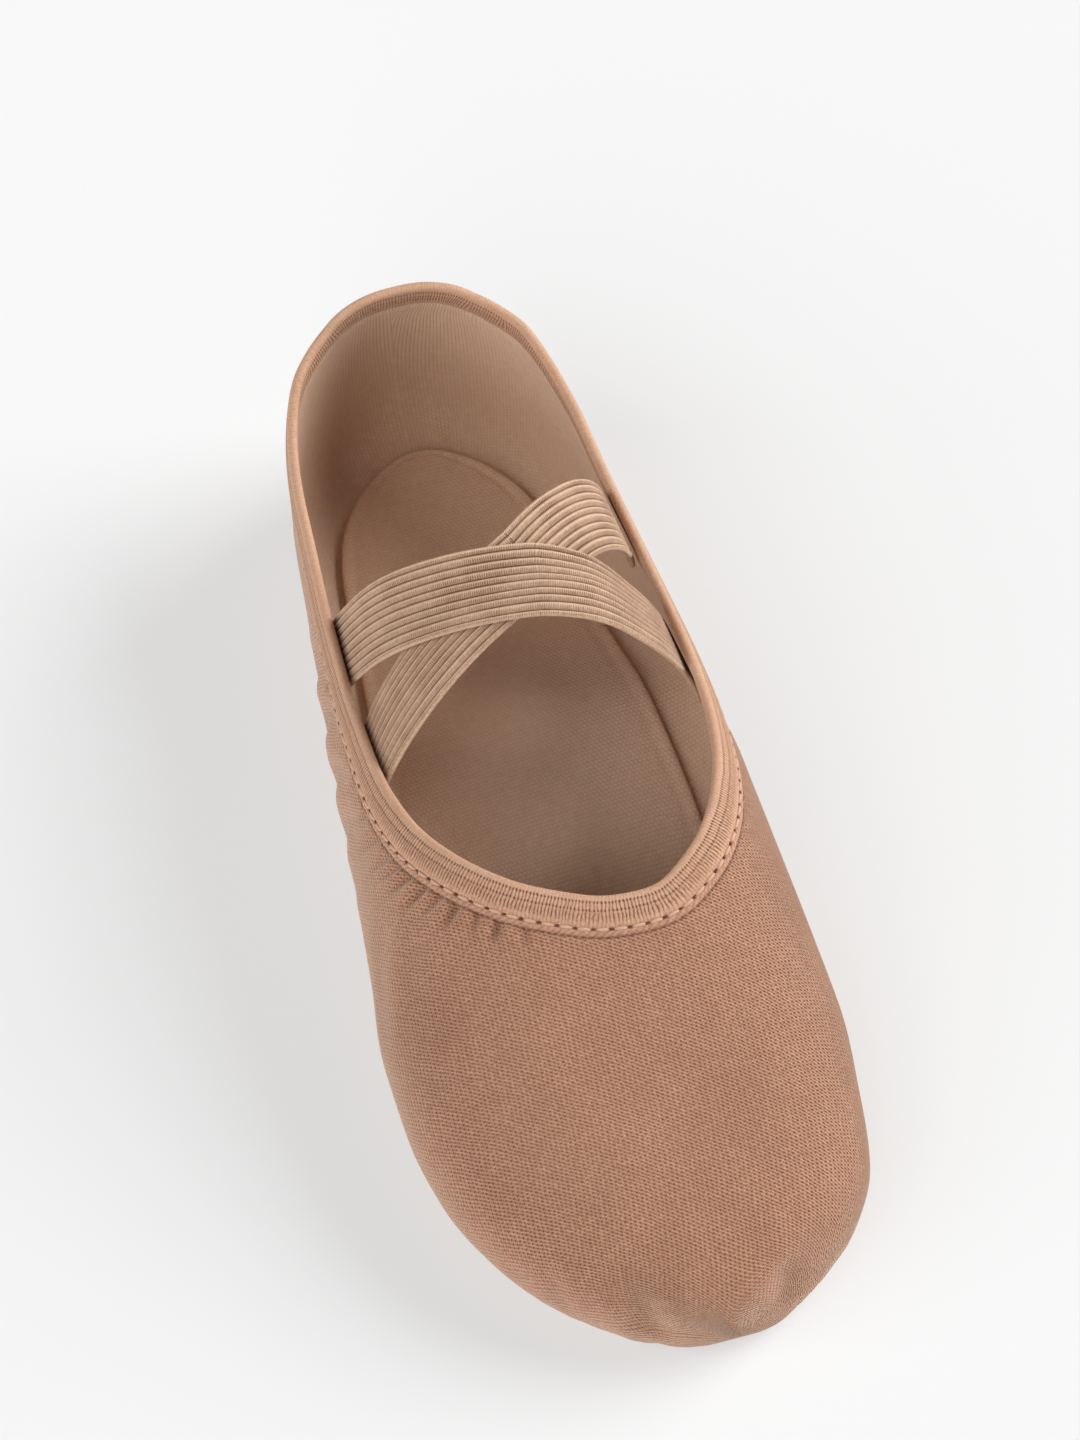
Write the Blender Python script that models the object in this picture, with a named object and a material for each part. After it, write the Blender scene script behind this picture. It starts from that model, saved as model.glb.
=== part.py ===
# Canvas ballet shoe, right foot: split suede sole, stretch canvas upper, two crossed elastic straps.
# Metres, +Z up. The toe points to -Y, the big-toe side is +X, and the floor is z = 0.
# The origin is on the floor, under the middle of the shoe.

import math

import bmesh
import bpy
import numpy as np

# Driving sizes of the shoe
shoeLength = 0.240
ballWidth = 0.090
instepHeight = 0.067  # height of the foot where the straps cross
heelHeight = 0.060  # height of the back of the heel, a little above the collar there
widestHeight = 0.020  # height of the widest line at the heel
archMedial = 0.012  # lift of the canvas under the arch, inner side
archLateral = 0.004  # and outer side

# Thicknesses and clearances
canvasWall = 0.0012
touchGap = 0.0003  # gap kept between pieces that touch
solePadThickness = 0.0018
insoleThickness = 0.0016
insoleGap = 0.0008  # between the insole and the canvas floor

# Folded elastic binding around the collar
bindingWidth = 0.0066
bindingThickness = 0.0020
bindingStep = 0.0004  # how far it stands proud of the canvas
bindingFold = 0.0010  # length of the rounded fold at its edge

# Elastic straps
strapWidth = 0.016
strapThickness = 0.0012
strapClearance = 0.0008  # room between a strap's end and the wall that it is sewn to
strapGap = 0.0006  # between the two straps where they cross

# Faces along and across the pieces
columnsPerSide = 40
wallRows = 12
rollRows = 5
levelRows = 3
strapSteps = 44
soleSteps = 48
insoleStations = 34

# Share of a half section that is flat underneath, before it rolls up to the widest line
flatShare = 0.72
insoleReach = 0.75  # share of the half section that the insole covers
insoleToeGap = 0.0070  # from the toe of the shoe to the insole
insoleHeelGap = 0.0100  # and from its heel

# Sections of the last. Station is a share of the length from the toe, lateral, medial and ridge
# are shares of the ball width, instep and heel are rises above the widest line as shares of their
# own heights, widest is a share of its height, arch of the arch lift, close draws the underside
# up to the widest line at the two ends, and fullness is the roundness of the section.
sectionColumns = ("station", "lateral", "medial", "ridge", "instep", "heel", "widest", "arch",
                  "close", "fullness")
sectionTable = (
    (0.0000, 0.061, 0.061, 0.061, 0.000, 0.000, 0.450, 0.00, 1.00, 2.50),
    (0.0033, 0.003, 0.120, 0.067, 0.067, 0.000, 0.450, 0.00, 0.62, 2.50),
    (0.0125, -0.067, 0.187, 0.078, 0.127, 0.000, 0.450, 0.00, 0.25, 2.50),
    (0.0333, -0.172, 0.276, 0.089, 0.187, 0.000, 0.475, 0.00, 0.05, 2.50),
    (0.0667, -0.289, 0.381, 0.100, 0.231, 0.000, 0.500, 0.00, 0.00, 2.50),
    (0.1167, -0.392, 0.456, 0.111, 0.269, 0.000, 0.550, 0.00, 0.00, 2.50),
    (0.1833, -0.467, 0.484, 0.117, 0.313, 0.000, 0.600, 0.00, 0.00, 2.45),
    (0.2500, -0.496, 0.500, 0.117, 0.373, 0.000, 0.650, 0.00, 0.00, 2.40),
    (0.3167, -0.500, 0.494, 0.113, 0.455, 0.000, 0.675, 0.00, 0.00, 2.35),
    (0.3958, -0.476, 0.482, 0.109, 0.560, 0.000, 0.725, 0.00, 0.00, 2.30),
    (0.5000, -0.448, 0.467, 0.100, 0.642, 0.000, 0.800, 0.75, 0.00, 2.15),
    (0.6042, -0.424, 0.441, 0.089, 0.739, 0.000, 0.875, 1.00, 0.00, 1.95),
    (0.6875, -0.400, 0.410, 0.067, 0.500, 0.383, 0.925, 0.55, 0.00, 1.90),
    (0.7708, -0.374, 0.378, 0.033, 0.250, 0.796, 0.975, 0.00, 0.00, 1.95),
    (0.8542, -0.350, 0.350, 0.011, 0.000, 1.150, 1.000, 0.00, 0.00, 2.10),
    (0.9167, -0.305, 0.305, 0.000, 0.000, 1.117, 1.000, 0.00, 0.02, 2.25),
    (0.9583, -0.228, 0.228, 0.000, 0.000, 0.800, 1.000, 0.00, 0.11, 2.20),
    (0.9833, -0.145, 0.145, 0.000, 0.000, 0.450, 1.000, 0.00, 0.38, 2.20),
    (0.9967, -0.065, 0.065, 0.000, 0.000, 0.183, 1.000, 0.00, 0.70, 2.20),
    (1.0000, 0.000, 0.000, 0.000, 0.000, 0.000, 1.000, 0.00, 1.00, 2.30),
)

# Edge of the collar: its height on each section, as a share of the rise above the widest line.
collarColumns = ("station", "height")
collarTable = (
    (0.3375, 1.000),
    (0.3500, 0.983),
    (0.3750, 0.930),
    (0.4083, 0.850),
    (0.4667, 0.705),
    (0.5417, 0.555),
    (0.6250, 0.445),
    (0.7292, 0.359),
    (0.8125, 0.332),
    (0.8542, 0.346),
    (0.8750, 0.363),
    (0.9083, 0.418),
    (0.9333, 0.498),
    (0.9542, 0.672),
    (0.9660, 0.860),
    (0.9720, 1.000),
)

# Which share of the collar edge faces which share of the outline, from the toe to the heel.
facingColumns = ("outline", "collar")
facingTable = ((0.00, 0.00), (0.18, 0.04), (0.36, 0.12), (0.50, 0.27), (0.65, 0.52),
               (0.80, 0.76), (1.00, 1.00))
toeFanEnd = (0.30, 0.50)  # shares of the outline between which the toe's fan of columns ends

# Suede sole pads: middle and half length as shares of the length, half width as a share of the
# ball width. The canvas is open underneath inside each pad, by the lap.
solePads = {
    "forefoot_sole": {"middle": 0.2170, "halfLength": 0.1730, "halfWidth": 0.390, "power": 2.5},
    "heel_sole": {"middle": 0.8640, "halfLength": 0.0850, "halfWidth": 0.235, "power": 2.3},
}
soleLap = 0.0065
soleEdgeRadius = 0.0004

# Straps: stations of their ends as shares of the length, the angle around the section at which
# they are sewn in, and how far the middle is pulled towards the toe. Lift is for the one on top.
strapTable = {
    "strap_over": {"medial": 0.5875, "lateral": 0.6792, "pull": 0.029, "liftsOver": True},
    "strap_under": {"medial": 0.7333, "lateral": 0.5375, "pull": 0.012, "liftsOver": False},
}
strapSeatAngle = math.radians(14)
strapLiftReach = (0.17, 0.36)  # full lift within the first share of the path, none past the second

# Colour, roughness and metallic value of each material
finishes = {
    "canvas": ((0.42, 0.22, 0.145), 0.85, 0.0),
    "elastic": ((0.47, 0.26, 0.175), 0.70, 0.0),
    "strap_elastic": ((0.50, 0.30, 0.205), 0.72, 0.0),
    "suede": ((0.36, 0.20, 0.13), 0.95, 0.0),
    "lining": ((0.50, 0.31, 0.215), 0.90, 0.0),
}


def smoothCurve(places, values):
    # monotone cubic through hand-chosen points, so that it never overshoots them
    steps = np.diff(places)
    slopes = np.diff(values) / steps
    tangents = np.zeros_like(values)
    tangents[0] = slopes[0]
    tangents[-1] = slopes[-1]
    for i in range(1, len(values) - 1):
        if slopes[i - 1] * slopes[i] > 0:
            first = 2 * steps[i] + steps[i - 1]
            second = steps[i] + 2 * steps[i - 1]
            tangents[i] = (first + second) / (first / slopes[i - 1] + second / slopes[i])

    def curve(at):
        at = np.asarray(at, float)
        i = np.clip(np.searchsorted(places, at, side="right") - 1, 0, len(places) - 2)
        t = (at - places[i]) / steps[i]
        start = values[i] * (1 + 2 * t) * (1 - t) ** 2 + steps[i] * tangents[i] * t * (1 - t) ** 2
        end = values[i + 1] * t * t * (3 - 2 * t) + steps[i] * tangents[i + 1] * t * t * (t - 1)
        return start + end

    return curve


def tableCurves(columns, rows, warp=lambda share: share):
    table = np.array(rows, float)
    places = warp(table[:, 0])
    return {name: smoothCurve(places, table[:, i]) for i, name in enumerate(columns) if i}


def turn(share):
    # share of the length as an angle, so that sections crowd towards the two round ends
    return np.arccos(np.clip(1 - 2 * np.asarray(share, float), -1, 1))


sectionCurves = tableCurves(sectionColumns, sectionTable, turn)
collarCurves = tableCurves(collarColumns, collarTable)
facingCurves = tableCurves(facingColumns, facingTable)


def section(share):
    angle = turn(share)
    found = {name: curve(angle) for name, curve in sectionCurves.items()}
    for name in ("lateral", "medial", "ridge"):
        found[name] = found[name] * ballWidth
    found["widest"] = found["widest"] * widestHeight
    found["rise"] = found["instep"] * instepHeight + found["heel"] * heelHeight
    return found


def along(share):
    # distance from the toe as a place on the Y axis
    return (np.asarray(share, float) - 0.5) * shoeLength


def lastPoint(angle, around):
    # around is 0 on the inner side, a quarter turn on the ridge and a half turn on the outer side
    share = (1 - np.cos(angle)) / 2
    cut = section(share)
    side = np.cos(around)
    up = np.sin(around)
    power = cut["fullness"]
    reach = (np.abs(side) ** power + np.abs(up) ** power) ** (-1 / power)
    half = np.where(side > 0, cut["medial"] - cut["ridge"], cut["ridge"] - cut["lateral"])
    return np.stack([cut["ridge"] + half * side * reach, along(share),
                     cut["widest"] + cut["rise"] * up * reach], -1)


def lastFrame(angle, around):
    # point, the two surface tangents and the outward normal
    step = 1e-4
    point = lastPoint(angle, around)
    alongTangent = (lastPoint(angle + step, around) - lastPoint(angle - step, around)) / (2 * step)
    aroundTangent = (lastPoint(angle, around + step) - lastPoint(angle, around - step)) / (2 * step)
    normal = np.cross(alongTangent, aroundTangent)
    normal /= np.linalg.norm(normal, axis=-1, keepdims=True)
    return point, alongTangent, aroundTangent, normal


def walkSurface(angle, around, direction, distances):
    # points and normals met on the last when walking from each start in a straight line
    angle = np.array(angle, float)
    around = np.array(around, float)
    stepLength = 0.0004
    walked = 0.0
    found = {}
    for distance in sorted(distances, key=abs):
        remaining = distance - walked
        count = max(1, math.ceil(abs(remaining) / stepLength))
        for _ in range(count):
            _, alongTangent, aroundTangent, normal = lastFrame(angle, around)
            flat = direction - normal * np.sum(direction * normal, -1, keepdims=True)
            flat *= (remaining / count) / np.linalg.norm(flat, axis=-1, keepdims=True)
            aa = np.sum(alongTangent ** 2, -1)
            bb = np.sum(aroundTangent ** 2, -1)
            ab = np.sum(alongTangent * aroundTangent, -1)
            fa = np.sum(flat * alongTangent, -1)
            fb = np.sum(flat * aroundTangent, -1)
            spread = aa * bb - ab ** 2
            angle += (fa * bb - fb * ab) / spread
            around += (fb * aa - fa * ab) / spread
        walked = distance
        point, _, _, normal = lastFrame(angle, around)
        found[distance] = (point, normal)
    return found


def topHeight(x, share):
    cut = section(share)
    half = np.where(x > cut["ridge"], cut["medial"] - cut["ridge"], cut["ridge"] - cut["lateral"])
    across = np.clip(np.abs(x - cut["ridge"]) / np.maximum(half, 1e-9), 0, 1)
    return cut["widest"] + cut["rise"] * (1 - across ** cut["fullness"]) ** (1 / cut["fullness"])


canvasBase = solePadThickness + touchGap  # height of the canvas under the foot


def underHeight(x, share):
    cut = section(share)
    middle = (cut["medial"] + cut["lateral"]) / 2
    half = (cut["medial"] - cut["lateral"]) / 2
    across = np.clip(np.abs(x - middle) / np.maximum(half, 1e-9), 0, 1)
    inner = np.clip((x - cut["lateral"]) / np.maximum(cut["medial"] - cut["lateral"], 1e-9), 0, 1)
    archLift = archLateral + (archMedial - archLateral) * inner * inner * (3 - 2 * inner)
    base = canvasBase + archLift * cut["arch"] + cut["close"] * (cut["widest"] - canvasBase)
    roll = np.clip((across - flatShare) / (1 - flatShare), 0, 1)
    return cut["widest"] - (cut["widest"] - base) * np.sqrt(1 - roll ** 2)


def evenly(points, shares):
    # points read from a polyline at shares of its length
    lengths = np.concatenate([[0], np.cumsum(np.linalg.norm(np.diff(points, axis=0), axis=1))])
    wanted = np.asarray(shares) * lengths[-1]
    return np.stack([np.interp(wanted, lengths, points[:, i]) for i in range(points.shape[1])], 1)


def collarSide(side, shares):
    # angle and around of the collar edge at shares of its length, from throat to heel back
    t = (1 - np.cos(np.linspace(0, np.pi, 400))) / 2
    start = collarTable[0][0]
    share = start + (collarTable[-1][0] - start) * t
    height = np.clip(collarCurves["height"](share), 0, 1)
    power = section(share)["fullness"]
    across = (1 - height ** power) ** (1 / power)
    around = np.arctan2(height, side * across)
    angle = turn(share)
    points = lastPoint(angle, around)
    lengths = np.concatenate([[0], np.cumsum(np.linalg.norm(np.diff(points, axis=0), axis=1))])
    wanted = np.asarray(shares) * lengths[-1]
    return np.interp(wanted, lengths, angle), np.interp(wanted, lengths, around)


def outlineSide(side, shares):
    # station and x of the widest line at shares of its length, from toe to heel
    station = (1 - np.cos(np.linspace(0, np.pi, 600))) / 2
    cut = section(station)
    x = cut["medial"] if side > 0 else cut["lateral"]
    return evenly(np.stack([x, station * shoeLength], 1), shares)


def ring(medial, lateral):
    # both sides joined into one loop: toe, inner side, heel, outer side
    return np.concatenate([medial, lateral[-2:0:-1]])


def collarLoop():
    shares = np.linspace(0, 1, columnsPerSide + 1)
    collarShares = facingCurves["collar"](shares)
    medial = collarSide(1, collarShares)
    lateral = collarSide(-1, collarShares)
    angle = ring(medial[0], lateral[0])
    around = ring(medial[1], lateral[1])
    return angle, around


def collarDown(angle, around):
    # direction on the surface, square to the collar edge and away from the opening
    point, _, _, normal = lastFrame(angle, around)
    tangent = np.roll(point, -1, axis=0) - np.roll(point, 1, axis=0)
    tangent /= np.linalg.norm(tangent, axis=1, keepdims=True)
    return np.cross(tangent, normal)


def padOutline(pad, inset, turns):
    # plan outline of a sole pad, at angles from its toe end, positive towards the inner side
    halfLength = pad["halfLength"] * shoeLength - inset
    halfWidth = pad["halfWidth"] * ballWidth - inset
    power = pad["power"]
    reach = (np.abs(np.cos(turns)) ** power + np.abs(np.sin(turns)) ** power) ** (-1 / power)
    station = pad["middle"] * shoeLength - halfLength * np.cos(turns) * reach
    cut = section(station / shoeLength)
    middle = (cut["lateral"] + cut["medial"]) / 2
    return np.stack([middle + halfWidth * np.sin(turns) * reach, station], -1)


def undersideEdge(side, stations):
    # where each wall column ends below: round the two openings, and on a centre seam in the waist
    front = solePads["forefoot_sole"]
    back = solePads["heel_sole"]
    frontEnd = (front["middle"] + front["halfLength"]) * shoeLength
    backEnd = (back["middle"] - back["halfLength"]) * shoeLength
    inFront = np.flatnonzero(stations < frontEnd)
    inBack = np.flatnonzero(stations > backEnd)
    seamStart = padOutline(front, soleLap, np.array([np.pi]))[0]
    seamEnd = padOutline(back, soleLap, np.array([0.0]))[0]
    edge = np.zeros((len(stations), 2))
    edge[inFront] = padOutline(front, soleLap, side * np.linspace(0, np.pi, len(inFront)))
    edge[inBack] = padOutline(back, soleLap, side * np.linspace(0, np.pi, len(inBack)))
    waist = np.arange(inFront[-1], inBack[0] + 1)
    t = np.linspace(0, 1, len(waist))[:, None]
    edge[waist] = seamStart + (seamEnd - seamStart) * t
    return edge


def wallColumn(top, widest, bottom, side, toWaist):
    # one column of the canvas: from the binding down to the widest line, then in underneath
    t = np.linspace(0, 1, 120)
    ease = (1 - (1 - t) ** 2.4)[:, None]
    plan = top[:2] + (widest - top[:2]) * ease
    # over the toes it runs straight in plan, on the side walls it keeps to its own share across
    share = plan[:, 1] / shoeLength + 0.5
    cut = section(share)
    half = cut["medial"] - cut["ridge"] if side > 0 else cut["ridge"] - cut["lateral"]
    startAcross = side * (plan[0, 0] - cut["ridge"][0]) / half[0]
    across = startAcross + (1 - startAcross) * ease[:, 0]
    plan[:, 0] += (cut["ridge"] + side * half * across - plan[:, 0]) * toWaist
    upper = np.column_stack([plan, topHeight(plan[:, 0], share)])
    widestPoint = np.array([widest[0], widest[1], section(widest[1] / shoeLength + 0.5)["widest"]])
    upper[-1] = widestPoint
    plan = widest + (bottom - widest) * (t ** 2.4)[:, None]
    share = plan[:, 1] / shoeLength + 0.5
    lower = np.column_stack([plan, underHeight(plan[:, 0], share)])
    lower[0] = widestPoint
    # most of the rows below go where it rolls under, the rest where it lies flat
    cut = section(share)
    middle = (cut["medial"] + cut["lateral"]) / 2
    reach = flatShare * (cut["medial"] - cut["lateral"]) / 2
    isLevel = (np.abs(plan[:, 0] - middle) < reach) & (cut["close"] < 0.04)
    isLevel[-2:] = True
    rolled = lower[:np.argmax(isLevel) + 1]
    level = lower[len(rolled) - 1:]
    return np.concatenate([evenly(upper, np.linspace(0, 1, wallRows + 1)),
                           evenly(rolled, np.linspace(0, 1, rollRows + 1))[1:],
                           evenly(level, np.linspace(0, 1, levelRows + 1))[1:]])


def makeMaterial(name):
    colour, roughness, metallic = finishes[name]
    material = bpy.data.materials.new(name)
    material.use_nodes = True
    shader = material.node_tree.nodes["Principled BSDF"]
    shader.inputs["Base Color"].default_value = (*colour, 1)
    shader.inputs["Roughness"].default_value = roughness
    shader.inputs["Metallic"].default_value = metallic
    material.diffuse_color = (*colour, 1)
    return material


def addObject(name, vertices, faces, material):
    mesh = bpy.data.meshes.new(name)
    mesh.from_pydata([tuple(v) for v in vertices], [], faces)
    bm = bmesh.new()
    bm.from_mesh(mesh)
    bmesh.ops.remove_doubles(bm, verts=bm.verts, dist=1e-6)
    bmesh.ops.recalc_face_normals(bm, faces=bm.faces)
    bm.to_mesh(mesh)
    bm.free()
    mesh.shade_smooth()
    mesh.set_sharp_from_angle(angle=math.radians(40))
    mesh.materials.append(material)
    thing = bpy.data.objects.new(name, mesh)
    bpy.context.scene.collection.objects.link(thing)
    return thing


def gridFaces(columns, rows, closeColumns, closeRows):
    # faces of a grid of columns of points, each column of the given number of rows
    faces = []
    for i in range(columns if closeColumns else columns - 1):
        for j in range(rows if closeRows else rows - 1):
            a = i * rows + j
            b = i * rows + (j + 1) % rows
            c = (i + 1) % columns * rows + (j + 1) % rows
            d = (i + 1) % columns * rows + j
            faces.append((a, b, c, d))
    return faces


def makeUpper(material):
    shares = np.linspace(0, 1, columnsPerSide + 1)
    medial = outlineSide(1, shares)
    lateral = outlineSide(-1, shares)
    stations = (medial[:, 1] + lateral[:, 1]) / 2
    widest = ring(medial, lateral)
    bottom = ring(undersideEdge(1, stations), undersideEdge(-1, stations))
    for plan in (widest, bottom):
        plan[:, 1] -= shoeLength / 2
    angle, around = collarLoop()
    canvasStart = bindingWidth + touchGap
    down = collarDown(angle, around)
    top = walkSurface(angle, around, down, [canvasStart])[canvasStart][0]
    sides = ring(np.ones(columnsPerSide + 1), -np.ones(columnsPerSide + 1))
    toWaist = np.clip((shares - toeFanEnd[0]) / (toeFanEnd[1] - toeFanEnd[0]), 0, 1)
    toWaist = toWaist * toWaist * (3 - 2 * toWaist)
    toWaist = ring(toWaist, toWaist)
    columns = [wallColumn(top[i], widest[i], bottom[i], sides[i], toWaist[i])
               for i in range(len(top))]
    rows = wallRows + rollRows + levelRows + 1
    points = np.concatenate(columns)
    upper = addObject("upper", points, gridFaces(len(top), rows, True, False), material)
    faceOutwards(upper)
    wall = upper.modifiers.new("wall", "SOLIDIFY")
    wall.thickness = canvasWall
    wall.offset = -1
    wall.use_even_offset = True
    wall.use_quality_normals = True
    return upper


def faceOutwards(thing):
    # an open sheet has its normals turned so that the face nearest the toe tip points to the toe
    mesh = thing.data
    first = min(mesh.polygons, key=lambda face: face.center.y)
    if first.normal.y > 0:
        mesh.flip_normals()


def makeBinding(material):
    angle, around = collarLoop()
    down = collarDown(angle, around)
    outside = bindingStep
    inside = bindingStep - bindingThickness
    middle = (outside + inside) / 2
    corner = 0.29  # share of the fold at which its round shoulder stands
    shoulder = 0.71 * bindingThickness / 2
    profile = ((bindingFold, outside), (corner * bindingFold, middle + shoulder), (0, middle),
               (corner * bindingFold, middle - shoulder), (bindingFold, inside),
               (0.55 * bindingWidth, inside), (bindingWidth, inside), (bindingWidth, outside),
               (0.55 * bindingWidth, outside))
    found = walkSurface(angle, around, down, {place for place, _ in profile})
    points = np.stack([found[place][0] + found[place][1] * height for place, height in profile], 1)
    faces = gridFaces(len(angle), len(profile), True, True)
    return addObject("collar_binding", points.reshape(-1, 3), faces, material)


def strapPath(strap):
    share = np.linspace(0, 1, strapSteps + 1)
    around = strapSeatAngle + (math.pi - 2 * strapSeatAngle) * share
    station = strap["medial"] + (strap["lateral"] - strap["medial"]) * share
    station = station - strap["pull"] * np.sin(math.pi * share)
    return turn(station), around, station


def makeStrap(name, material):
    strap = strapTable[name]
    angle, around, station = strapPath(strap)
    point, _, _, normal = lastFrame(angle, around)
    tangent = np.gradient(point, axis=0)
    tangent /= np.linalg.norm(tangent, axis=1, keepdims=True)
    sideways = np.cross(tangent, normal)
    depth = np.full(len(angle), bindingThickness - bindingStep + strapClearance)
    if strap["liftsOver"]:
        # raised over the other strap where the two cross
        others = [row for key, row in strapTable.items() if key != name]
        crossing = np.argmin(np.abs(strapPath(others[0])[2] - station))
        away = np.abs(np.arange(len(angle)) - crossing) / strapSteps
        t = np.clip((strapLiftReach[1] - away) / (strapLiftReach[1] - strapLiftReach[0]), 0, 1)
        depth = depth - (strapThickness + strapGap) * t * t * (3 - 2 * t)
    found = {0: (point, normal)}
    for side in (-1, 1):
        found.update(walkSurface(angle, around, sideways, [side * strapWidth / 2]))
    rim = []
    for distance in (-strapWidth / 2, 0, strapWidth / 2):
        at, out = found[distance]
        rim.append(at - out * depth[:, None])
    for distance in (strapWidth / 2, 0, -strapWidth / 2):
        at, out = found[distance]
        rim.append(at - out * (depth + strapThickness)[:, None])
    points = np.stack(rim, 1)
    rows = len(rim)
    faces = gridFaces(len(angle), rows, False, True)
    last = (len(angle) - 1) * rows
    for start in (0, last):
        faces.append((start, start + 1, start + 4, start + 5))
        faces.append((start + 1, start + 2, start + 3, start + 4))
    return addObject(name, points.reshape(-1, 3), faces, material)


def makeSolePad(name, material):
    pad = solePads[name]
    turns = np.linspace(0, 2 * math.pi, soleSteps, endpoint=False)
    plan = padOutline(pad, 0, turns)
    bm = bmesh.new()
    corners = [bm.verts.new((x, y - shoeLength / 2, 0)) for x, y in plan]
    face = bm.faces.new(corners)
    raised = bmesh.ops.extrude_face_region(bm, geom=[face])
    top = [v for v in raised["geom"] if isinstance(v, bmesh.types.BMVert)]
    bmesh.ops.translate(bm, verts=top, vec=(0, 0, solePadThickness))
    bmesh.ops.recalc_face_normals(bm, faces=bm.faces)
    mesh = bpy.data.meshes.new(name)
    bm.to_mesh(mesh)
    bm.free()
    mesh.shade_smooth()
    mesh.set_sharp_from_angle(angle=math.radians(40))
    mesh.materials.append(material)
    thing = bpy.data.objects.new(name, mesh)
    bpy.context.scene.collection.objects.link(thing)
    edge = thing.modifiers.new("edge", "BEVEL")
    edge.width = soleEdgeRadius
    edge.segments = 2
    edge.limit_method = "ANGLE"
    edge.angle_limit = math.radians(60)
    return thing


def underNormal(x, share):
    step = 0.0002
    slopeX = (underHeight(x + step, share) - underHeight(x - step, share)) / (2 * step)
    ahead = step / shoeLength
    slopeY = (underHeight(x, share + ahead) - underHeight(x, share - ahead)) / (2 * step)
    normal = np.stack([-slopeX, -slopeY, np.ones_like(slopeX)], -1)
    return normal / np.linalg.norm(normal, axis=-1, keepdims=True)


def makeInsole(material):
    # a thin sock on the canvas floor, drawn in from both ends
    t = (1 - np.cos(np.linspace(0, math.pi, insoleStations))) / 2
    share = (insoleToeGap + t * (shoeLength - insoleToeGap - insoleHeelGap)) / shoeLength
    cut = section(t)
    acrossSteps = np.sin(np.linspace(-math.pi / 2, math.pi / 2, 9))
    middle = (cut["medial"] + cut["lateral"]) / 2
    half = (cut["medial"] - cut["lateral"]) / 2
    x = middle[:, None] + half[:, None] * acrossSteps * insoleReach
    shares = np.repeat(share[:, None], len(acrossSteps), axis=1)
    floor = np.stack([x, along(shares), underHeight(x, shares)], -1)
    normal = underNormal(x, shares)
    lower = floor + normal * (canvasWall + insoleGap)
    upper = floor + normal * (canvasWall + insoleGap + insoleThickness)
    # the two ends come to a point in plan, so each is one short upright edge
    for sheet in (lower, upper):
        for end in (0, -1):
            sheet[end] = sheet[end, len(acrossSteps) // 2]
    loop = np.concatenate([lower, upper[:, ::-1]], axis=1)
    faces = gridFaces(loop.shape[0], loop.shape[1], False, True)
    return addObject("insole", loop.reshape(-1, 3), faces, material)


def clearScene():
    for thing in list(bpy.data.objects):
        bpy.data.objects.remove(thing)


def main():
    clearScene()
    materials = {name: makeMaterial(name) for name in finishes}
    makeUpper(materials["canvas"])
    makeBinding(materials["elastic"])
    for name in strapTable:
        makeStrap(name, materials["strap_elastic"])
    for name in solePads:
        makeSolePad(name, materials["suede"])
    makeInsole(materials["lining"])


main()
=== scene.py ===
# Looks of the canvas ballet shoe: stretch canvas, folded elastic binding, two ribbed straps,
# suede sole pads and a cotton insole. Metres, +Z up, toe to -Y, big-toe side to +X.

import math

import bmesh
import bpy
import numpy as np
from mathutils import Matrix, Vector


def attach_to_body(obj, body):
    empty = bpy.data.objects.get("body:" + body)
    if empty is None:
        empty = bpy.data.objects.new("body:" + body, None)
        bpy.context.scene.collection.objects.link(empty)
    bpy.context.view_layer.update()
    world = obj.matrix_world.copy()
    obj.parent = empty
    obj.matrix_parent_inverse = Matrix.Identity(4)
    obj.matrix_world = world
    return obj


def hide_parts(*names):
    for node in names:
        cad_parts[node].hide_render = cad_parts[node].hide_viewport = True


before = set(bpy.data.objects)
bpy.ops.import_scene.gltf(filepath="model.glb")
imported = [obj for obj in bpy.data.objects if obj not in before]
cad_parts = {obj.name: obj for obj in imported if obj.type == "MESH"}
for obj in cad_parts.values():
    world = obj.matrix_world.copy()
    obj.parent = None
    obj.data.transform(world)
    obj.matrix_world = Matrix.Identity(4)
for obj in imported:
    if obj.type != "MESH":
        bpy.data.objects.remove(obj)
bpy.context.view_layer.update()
print("frame loaded")

# Form of the shoe, the same as that of the solids
shoe = {
    "length": 0.240,
    "ballWidth": 0.090,
    "instepHeight": 0.067,
    "heelHeight": 0.060,
    "widestHeight": 0.020,
    "archMedial": 0.012,
    "archLateral": 0.004,
    "canvasBase": 0.0021,  # height of the canvas above the floor
    "flatShare": 0.72,  # share of the half section that is flat underneath
    "walkStep": 0.0004,  # longest straight step when walking over the surface
    "columnsPerSide": 300,
}

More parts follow.
